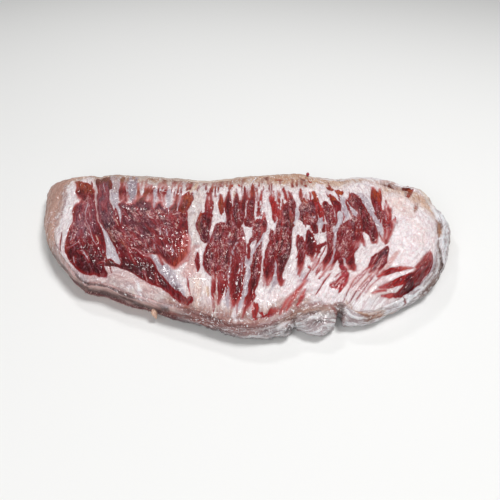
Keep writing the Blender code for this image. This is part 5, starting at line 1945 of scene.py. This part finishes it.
class GrowthTree:
    """A geometry tree with named inputs, which turns an object into a plain mesh."""

    def __init__(self, name: str) -> None:
        """Start an empty tree with a geometry input and output.

        Args:
            name: The tree's name.
        """
        self.tree = bpy.data.node_groups.new(name, "GeometryNodeTree")
        self.pen = Sketch(self.tree)
        for way in ("INPUT", "OUTPUT"):
            self.tree.interface.new_socket("Geometry", in_out=way,
                                           socket_type="NodeSocketGeometry")
        self.values: dict[str, Value] = {}
        self.source: bpy.types.Node | None = None

    def take(self, kind: str, **values: Value) -> None:
        """Name inputs, whose names are given with underscores.

        Args:
            kind: What the inputs hold: Float, Int or Material.
            **values: What each holds.
        """
        for name, value in values.items():
            socket = self.tree.interface.new_socket(
                name.replace("_", " "), in_out="INPUT", socket_type="NodeSocket" + kind)
            self.values[socket.identifier] = value

    def given(self, name: str) -> Socket:
        """Read a named input in the tree."""
        self.source = self.source or self.pen.add("NodeGroupInput")
        return self.source.outputs[name]

    def close(self, geometry: Socket) -> None:
        """End the tree in real geometry with its finish.

        Args:
            geometry: What the tree has made.
        """
        real = self.pen.add("GeometryNodeRealizeInstances", {"Geometry": geometry})
        coat = self.pen.add("GeometryNodeSetMaterial", {
            "Geometry": real.outputs["Geometry"], "Material": self.given("Finish")})
        self.pen.add("NodeGroupOutput", {"Geometry": coat.outputs["Geometry"]})

    def grow(self, base: bpy.types.Mesh, name: str) -> bpy.types.Object:
        """Run the tree over a mesh.

        Args:
            base: The mesh that the tree reads.
            name: Name of the finished piece.

        Returns:
            An object with a plain mesh and no modifier.
        """
        carrier = bpy.data.objects.new(name + "_base", base)
        bpy.context.scene.collection.objects.link(carrier)
        modifier = carrier.modifiers.new("growth", "NODES")
        modifier.node_group = self.tree
        for identifier, value in self.values.items():
            modifier[identifier] = value
        bpy.context.view_layer.update()
        graph = bpy.context.evaluated_depsgraph_get()
        mesh = bpy.data.meshes.new_from_object(
            carrier.evaluated_get(graph), preserve_all_data_layers=True, depsgraph=graph)
        mesh.name = name
        bpy.data.objects.remove(carrier, do_unlink=True)
        return place_object(name, mesh)


def place_object(name: str, data: bpy.types.ID) -> bpy.types.Object:
    """Put a mesh, a lamp or a lens into the scene as an object.

    Args:
        name: The object's name.
        data: What it shows.

    Returns:
        The object.
    """
    thing = bpy.data.objects.new(name, data)
    bpy.context.scene.collection.objects.link(thing)
    return thing


def make_mesh(name: str, points: Array, links: list, faces: list) -> bpy.types.Mesh:
    """Make a mesh in metres from points in millimetres.

    Args:
        name: The mesh's name.
        points: Its points.
        links: Its loose edges.
        faces: Its faces.

    Returns:
        The mesh.
    """
    mesh = bpy.data.meshes.new(name)
    mesh.from_pydata((points * MM).tolist(), links, faces)
    return mesh


def settle(piece: bpy.types.Object) -> bpy.types.Object:
    """Let a finished piece ride with the slab.

    Args:
        piece: The piece.

    Returns:
        The same piece.
    """
    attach(piece, BODY)
    return piece


def write_attribute(mesh: bpy.types.Mesh, name: str, values: Array) -> None:
    """Store a number, a vector or a colour a point on a mesh.

    Args:
        mesh: The mesh.
        name: The attribute's name.
        values: One row or number a point, with four channels in a colour.
    """
    kind, key = {1: ("FLOAT", "value"), 3: ("FLOAT_VECTOR", "vector"),
                 4: ("FLOAT_COLOR", "color")}[values.size // len(values)]
    layer = mesh.attributes.new(name, kind, "POINT")
    layer.data.foreach_set(key, np.ascontiguousarray(values, dtype=np.float32).ravel())


@dataclass
class BeefSlab:
    """The slab itself, cut face up, with its relief and its marbling."""

    name: str = "marbled_slab"
    lean_recess: float = 0.28
    fat_rise: float = 0.30
    shoulder: float = 1.3
    inner_shoulder: float = 0.7
    fibre_height: float = 0.26
    wrinkle_height: float = 0.08
    lump_height: float = 0.30
    skin_height: float = 0.42
    fold_height: float = 0.32
    ripple_height: float = 0.8
    fibre: Pattern = Pattern((1.0 / 1.7, 1.0 / 7.0, 1.0), 2.0, 0.6, 0.4, 0.25, 0.75, -1.0)
    wrinkle: Pattern = Pattern((0.16, 1.0 / 2.1, 1.0), 1.0, 0.5, 0.3, 0.3, 0.7, -1.0)
    lump: Pattern = Pattern((1.0 / 4.5,) * 3, 2.0, 0.55, 0.3, 0.25, 0.75, -1.0)
    ripple: Pattern = Pattern((1.0 / 5.5,) * 3, 2.0, 0.5, 0.8, 0.3, 0.7, -1.0)
    skin: Pattern = Pattern((1.0 / 2.4,) * 3, 2.0, 0.6, 0.5, 0.25, 0.75, -1.0)
    fold: Pattern = Pattern((0.07, 0.07, 0.3), 2.0, 0.55, 0.8, 0.3, 0.7, -1.0)
    flank_right: Pair = (-40.0, -24.0)
    flank_back: Pair = (10.0, 30.0)
    flank_rows: Pair = (3.4, 2.6)
    flank_soft: Pair = (0.0, 0.9)
    free_height: Pair = (0.0, 2.0)
    crease_rows: Pair = (2.2, 1.2)
    crease_points: int = 24
    finish: MarbledFinish = field(default_factory=MarbledFinish)
    form: SlabForm = field(default_factory=SlabForm)
    marbling: MarbleMap = field(default_factory=MarbleMap)
    creases: tuple[Run, ...] = Run.table("""
    -1.1 .8: 90 49.8, 93 48.3, 96 46.7, 100 43, 104 43.6, 108 46, 111 48.5; .9 1.3: 91 52, 96 49.4,
    100 45.8, 104 46.2, 108 48.2; -.8 .9: -93 55, -90.4 46, -88 36, -85 25, -82 15, -79 6;
    .5 1.2: -78 0, -73 -8, -68.5 -19, -65.5 -25; -.5 .7: 108.6 -6, 107.5 -14, 105.5 -22, 102 -30;
    .45 1.2: 30 -52, 42 -48, 56 -50, 66 -55; .5 2: 84 -24, 78 -33, 68 -44; -.4 1.2: 88 -28, 82 -34,
    74 -45;
    """)

    def build(self) -> bpy.types.Object:
        """Make the slab.

        Returns:
            The piece.
        """
        form = self.form.build()
        paint = self.marbling.paint(form.chart, form.down)
        mesh = make_mesh(self.name + "_form", form.points, [], form.faces)
        mesh.shade_smooth()
        count = len(form.points)
        lined = ease(form.chart[:, 0], *self.flank_right) + ease(form.chart[:, 1], *self.flank_back)
        starts = self.flank_rows[0] - self.flank_rows[1] * np.clip(lined, 0.0, 1.0)
        opaque = np.ones((count, 1))
        for name, values in {
            "lean": paint.lean, "grain": paint.grain,
            "flow": np.column_stack((paint.flow, np.zeros(count))),
            "traits": paint.traits, "loose": paint.loose, "sheen": paint.sheen,
            "softness": paint.softness, "lap": form.lap,
            "flank": ease(form.down - starts, *self.flank_soft),
            "lean_tone": np.hstack((paint.lean_tone, opaque)),
            "fat_tone": np.hstack((paint.fat_tone, opaque)),
            "swell": self.swell(form.chart, form.down),
            "free": ease(form.points[:, 2], *self.free_height),
        }.items():
            write_attribute(mesh, name, values)
        return self.relief_tree().grow(mesh, self.name)

    def swell(self, chart: Array, down: Array) -> Array:
        """Reckon the height of the named creases and folds.

        Args:
            chart: Places on the unrolled surface.
            down: How many coarse rows below the rim each point lies.

        Returns:
            The height at each point.
        """
        total = np.zeros(len(chart))
        for crease in self.creases:
            share = np.linspace(0.0, 1.0, self.crease_points)
            total += crease.fold(*chart.T, smooth_curve(crease.path, share, CURVE_STEPS))
        return total * ease(down, *self.crease_rows)

    def relief_tree(self) -> GrowthTree:
        """Lay the tree that raises the fat and sinks the lean along its fibres.

        Returns:
            The tree.
        """
        growth = GrowthTree("marbled_relief")
        growth.take("Float", Lean_Recess=self.lean_recess, Fat_Rise=self.fat_rise,
                    Shoulder=self.shoulder, Fibre_Height=self.fibre_height,
                    Wrinkle_Height=self.wrinkle_height, Lump_Height=self.lump_height,
                    Skin_Height=self.skin_height, Fold_Height=self.fold_height,
                    Ripple_Height=self.ripple_height)
        growth.take("Material", Finish=self.finish.build())
        pen, given = growth.pen, growth.given
        lean, grain = pen.stored("lean"), pen.stored("grain", "FLOAT_VECTOR")
        _, veined, skin = pen.separate(pen.stored("traits", "FLOAT_VECTOR"))
        place = pen.place("GeometryNodeInputPosition", "Position")

        def swing(where: Socket, rule: Pattern, name: str) -> Socket:
            """Read a pattern to and fro by the height that an input gives."""
            return pen.times(pen.pattern(where, rule), given(name))

        inner = pen.times(given("Shoulder"), self.inner_shoulder)
        outer = pen.times(given("Shoulder"), -1.0)
        share = pen.ease(lean, outer, inner)
        drop = pen.times(given("Lean Recess"), -1.0)
        height = pen.ease(lean, outer, inner, given("Fat Rise"), drop)
        fibre = swing(grain, self.fibre, "Fibre Height")
        fibre = pen.math("ADD", fibre, swing(grain, self.wrinkle, "Wrinkle Height"))
        ripple = pen.times(swing(place, self.ripple, "Ripple Height"), pen.rest(share))
        fold = swing(pen.stored("lap", "FLOAT_VECTOR"), self.fold, "Fold Height")
        for rise, part in (
            (fibre, share), (swing(place, self.lump, "Lump Height"), pen.rest(share)),
            (ripple, veined), (swing(place, self.skin, "Skin Height"), skin),
            (fold, pen.stored("flank")),
        ):
            height = pen.plus(rise, part, height)
        height = pen.times(pen.math("ADD", height, pen.stored("swell")), pen.stored("free"), MM)
        normal = pen.add("GeometryNodeInputNormal").outputs[0]
        offset = pen.add("ShaderNodeVectorMath", {0: normal, "Scale": height}, operation="SCALE")
        moved = pen.add("GeometryNodeSetPosition", {
            "Geometry": given("Geometry"), "Offset": offset.outputs[0]})
        growth.close(moved.outputs["Geometry"])
        return growth


@dataclass
class EdgeShreds:
    """Ragged shreds that stand out along a run of the slab's edge."""

    name: str
    share: float
    low: Pair
    high: Pair
    out: Triple
    finish: ShredFinish
    spacing: float = 0.8
    length: Pair = (0.8, 2.4)
    width: Pair = (0.5, 1.3)
    scatter: float = 0.55
    sunk: float = 0.45
    sides: int = 5
    seed: int = 3
    tip: float = 0.06
    foot: float = 0.5
    flatness: float = 0.55

    def build(self, form: SlabForm) -> bpy.types.Object:
        """Make the shreds.

        Args:
            form: The slab's form, whose edge they grow from.

        Returns:
            The piece.
        """
        ring = form.ring(self.share)
        inside = ((ring[:, :2] > self.low) & (ring[:, :2] < self.high)).all(axis=1)
        edge = np.flatnonzero(inside)
        links = [(i, i + 1) for i, step in enumerate(np.diff(edge)) if step == 1]
        points = ring[edge] - self.sunk * np.array(self.out) / np.linalg.norm(self.out)
        return self.tree().grow(make_mesh(self.name + "_run", points, links, []), self.name)

    def tree(self) -> GrowthTree:
        """Lay the tree that sets flat pointed shreds along the run.

        Returns:
            The tree.
        """
        growth = GrowthTree(self.name + "_growth")
        growth.take("Float", Spacing=self.spacing * MM, Scatter=self.scatter,
                    Shortest=self.length[0], Longest=self.length[1])
        growth.take("Int", Seed=self.seed)
        growth.take("Material", Finish=self.finish.build())
        pen, given = growth.pen, growth.given
        run = pen.add("GeometryNodeMeshToCurve", {"Mesh": given("Geometry")})
        even = pen.add("GeometryNodeResampleCurve", {
            "Curve": run.outputs["Curve"], "Length": given("Spacing")}, mode="LENGTH")
        shred = pen.add("GeometryNodeMeshCone", {
            "Vertices": self.sides, "Radius Top": self.tip * MM,
            "Radius Bottom": self.foot * MM, "Depth": MM})
        spread = pen.combine(*(given("Scatter"),) * 3)
        tilt = pen.add("FunctionNodeRandomValue", {
            0: pen.vector("MULTIPLY", spread, (-1.0,) * 3), 1: spread, "Seed": given("Seed"),
        }, data_type="FLOAT_VECTOR")
        turn = pen.add("FunctionNodeAlignRotationToVector", {
            "Vector": pen.vector("ADD", tilt.outputs[0], self.out)}, axis="Z")

        def draw(low: Value, high: Value, step: float) -> Socket:
            """Draw a seeded number between two others."""
            feeds = {2: low, 3: high, "Seed": pen.math("ADD", given("Seed"), step)}
            return pen.add("FunctionNodeRandomValue", feeds, data_type="FLOAT").outputs[1]

        long, wide = draw(given("Shortest"), given("Longest"), 1.0), draw(*self.width, 2.0)
        spots = pen.add("GeometryNodeInstanceOnPoints", {
            "Points": even.outputs["Curve"], "Instance": shred.outputs["Mesh"],
            "Rotation": turn.outputs["Rotation"],
            "Scale": pen.combine(wide, pen.times(wide, self.flatness), long)})
        growth.close(spots.outputs["Instances"])
        return growth


@dataclass
class Wisp:
    """One loose, tapered thread or flap of tissue that follows a path."""

    name: str
    path: Path
    finish: ShredFinish
    flatness: float = 0.6
    sides: int = 8
    steps: int = 28
    thinnest: float = 0.04

    def build(self) -> bpy.types.Object:
        """Make the wisp.

        Returns:
            The piece.
        """
        rows = smooth_curve(self.path, np.linspace(0.0, 1.0, self.steps), CURVE_STEPS)
        links = [(i, i + 1) for i in range(len(rows) - 1)]
        mesh = make_mesh(self.name + "_path", rows[:, :3], links, [])
        write_attribute(mesh, "half", np.maximum(rows[:, 3], self.thinnest))
        piece = self.tree().grow(mesh, self.name)
        piece.data.shade_smooth()
        return piece

    def tree(self) -> GrowthTree:
        """Lay the tree that draws a closed thread along the path.

        Returns:
            The tree.
        """
        growth = GrowthTree(self.name + "_thread")
        growth.take("Float", Flatness=self.flatness)
        growth.take("Material", Finish=self.finish.build())
        pen, given = growth.pen, growth.given
        run = pen.add("GeometryNodeMeshToCurve", {"Mesh": given("Geometry")})
        ring = pen.add("GeometryNodeCurvePrimitiveCircle", {
            "Resolution": self.sides, "Radius": MM}, mode="RADIUS")
        flat = pen.add("GeometryNodeTransform", {
            "Geometry": ring.outputs["Curve"],
            "Scale": pen.combine(1.0, given("Flatness"), 1.0)})
        sweep = pen.add("GeometryNodeCurveToMesh", {
            "Curve": run.outputs["Curve"], "Scale": pen.stored("half"),
            "Profile Curve": flat.outputs["Geometry"], "Fill Caps": True})
        growth.close(sweep.outputs["Mesh"])
        return growth


@dataclass
class LooseBits:
    """What stands clear of the slab: shreds along its edges and a few loose wisps."""

    shreds: tuple[EdgeShreds, ...] = (
        EdgeShreds("lip_shreds", 5.0, (-84.0, -62.0), (-29.0, -30.0), (-0.35, -0.85, -0.45),
                   ShredFinish("torn_lip", Tissue.FRINGE, Tissue.MAROON)),
        EdgeShreds("lip_threads", 5.0 + 1.0 / 3.0, (-80.0, -62.0), (-32.0, -30.0),
                   (-0.2, -0.6, -0.8), ShredFinish("dark_lip", Tissue.MAROON, Tissue.LINE),
                   1.3, (0.9, 2.0), (0.5, 1.1), seed=8),
        EdgeShreds("back_crumbs", 1.0, (-98.0, 50.0), (62.0, 70.0), (0.0, 0.75, 0.65),
                   ShredFinish("dried_crumbs", Tissue.TAN, Tissue.BRONZE, 0.5),
                   2.3, (0.6, 1.3), (0.7, 1.6), 0.7, 0.35, seed=12),
    )
    wisps: tuple[Wisp, ...] = (
        Wisp("hanging_shred", read_path("""
            -41.6 -53.2 6.6 .7, -40.8 -54.5 5.4 1.6, -40.3 -55.4 4.2 1.1, -39.9 -56.2 2.6 .2
            """), ShredFinish("pink_shred", Tissue.SAND, Tissue.ROSY)),
        Wisp("dark_drop", read_path("""
            44.8 62.2 13.6 .3, 44.9 62.6 14.9 .3, 45 62.8 15.8 .7, 45 62.9 16.7 1.15,
            45.1 63 17.5 .9, 45.3 63.2 18.1 .1
            """), ShredFinish("dark_drop", Tissue.LEAN, Tissue.CHERRY, 0.3), 1.0, 12),
        Wisp("pale_thread", read_path("""
            7.3 49.2 17.5 .1, 8.6 52 17.7 .34, 10.2 56 17.3 .38, 12 59.6 16.3 .1
            """), ShredFinish("pale_thread", Tissue.SNOW, Tissue.BLUE_WHITE, 0.3)),
        Wisp("skin_flap", read_path("""
            82.5 59.2 15.2 .3, 88 55.6 16.6 1, 93 52 18 1.3, 97.5 48.9 18.5 1.4,
            101.5 46.4 17.9 1.1, 105.5 46.2 16.9 .7, 109.5 48.2 15.9 .2
            """), ShredFinish("pale_flap", Tissue.PALE_SKIN, Tissue.GREY_PINK, 0.36), 0.5, 12, 48),
    )

    def build(self, form: SlabForm) -> list[bpy.types.Object]:
        """Make every shred, on the slab's form, and every wisp."""
        return [shred.build(form) for shred in self.shreds] + [wisp.build() for wisp in self.wisps]


@dataclass
class Studio:
    """Pale floor, soft light and the camera at the photograph's viewing angle."""

    camera_place: Triple = (6.794, -239.294, 189.3)
    camera_dip: float = 38.0
    focal_length: float = 37.44
    film_width: float = 36.0
    nearest: float = 0.01
    floor_span: float = 6.0
    floor_level: float = -0.0001
    sky: float = 0.16
    lights: tuple[tuple[str, Triple, float, float], ...] = (
        ("key", (0.35, 0.02, 0.95), 0.35, 6.6),
        ("fill", (-0.30, -0.80, 0.55), 0.9, 5.0),
        ("glint", (-0.25, 0.62, 0.70), 0.12, 1.5),
    )

    def build(self) -> None:
        """Make the floor, the lights and the camera."""
        self.floor()
        self.light()
        self.camera()

    def floor(self) -> None:
        """Lay the floor just under the slab."""
        half = self.floor_span / 2.0
        corners = ((-half, -half), (half, -half), (half, half), (-half, half))
        mesh = bpy.data.meshes.new("floor")
        mesh.from_pydata([(x, y, self.floor_level) for x, y in corners], [], [(0, 1, 2, 3)])
        mesh.materials.append(FloorFinish().build())
        place_object("floor", mesh)

    def light(self) -> None:
        """Hang the lamps and set the sky."""
        for name, place, span, power in self.lights:
            lamp = bpy.data.lights.new(name, "AREA")
            lamp.shape, lamp.size, lamp.energy = "DISK", span, power
            holder = place_object(name, lamp)
            holder.location = place
            x, y, z = place
            holder.rotation_euler = (math.atan2(math.hypot(x, y), z), 0.0, math.atan2(x, -y))
        scene = bpy.context.scene
        scene.world = bpy.data.worlds.new("sky")
        scene.world.use_nodes = True
        backdrop = scene.world.node_tree.nodes["Background"]
        backdrop.inputs["Color"].default_value = (1.0,) * 4
        backdrop.inputs["Strength"].default_value = self.sky
        scene.view_settings.view_transform = "Standard"

    def camera(self) -> None:
        """Set the camera."""
        lens = bpy.data.cameras.new("camera")
        lens.lens, lens.sensor_width = self.focal_length, self.film_width
        lens.clip_start = self.nearest
        camera = place_object("camera", lens)
        camera.location = tuple(axis * MM for axis in self.camera_place)
        camera.rotation_euler = (math.radians(90.0 - self.camera_dip), 0.0, 0.0)
        bpy.context.scene.camera = camera


def main() -> None:
    """Build the pieces in order."""
    logging.basicConfig(level=logging.INFO, format="%(name)s: %(message)s")
    slab = BeefSlab()
    piece = settle(slab.build())
    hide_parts(NODE)
    LOG.info("slab: %d points", len(piece.data.vertices))
    for bit in LooseBits().build(slab.form):
        settle(bit)
        LOG.info("%s: %d points", bit.name, len(bit.data.vertices))
    Studio().build()
    LOG.info("studio built")


if __name__ == "__main__":
    main()
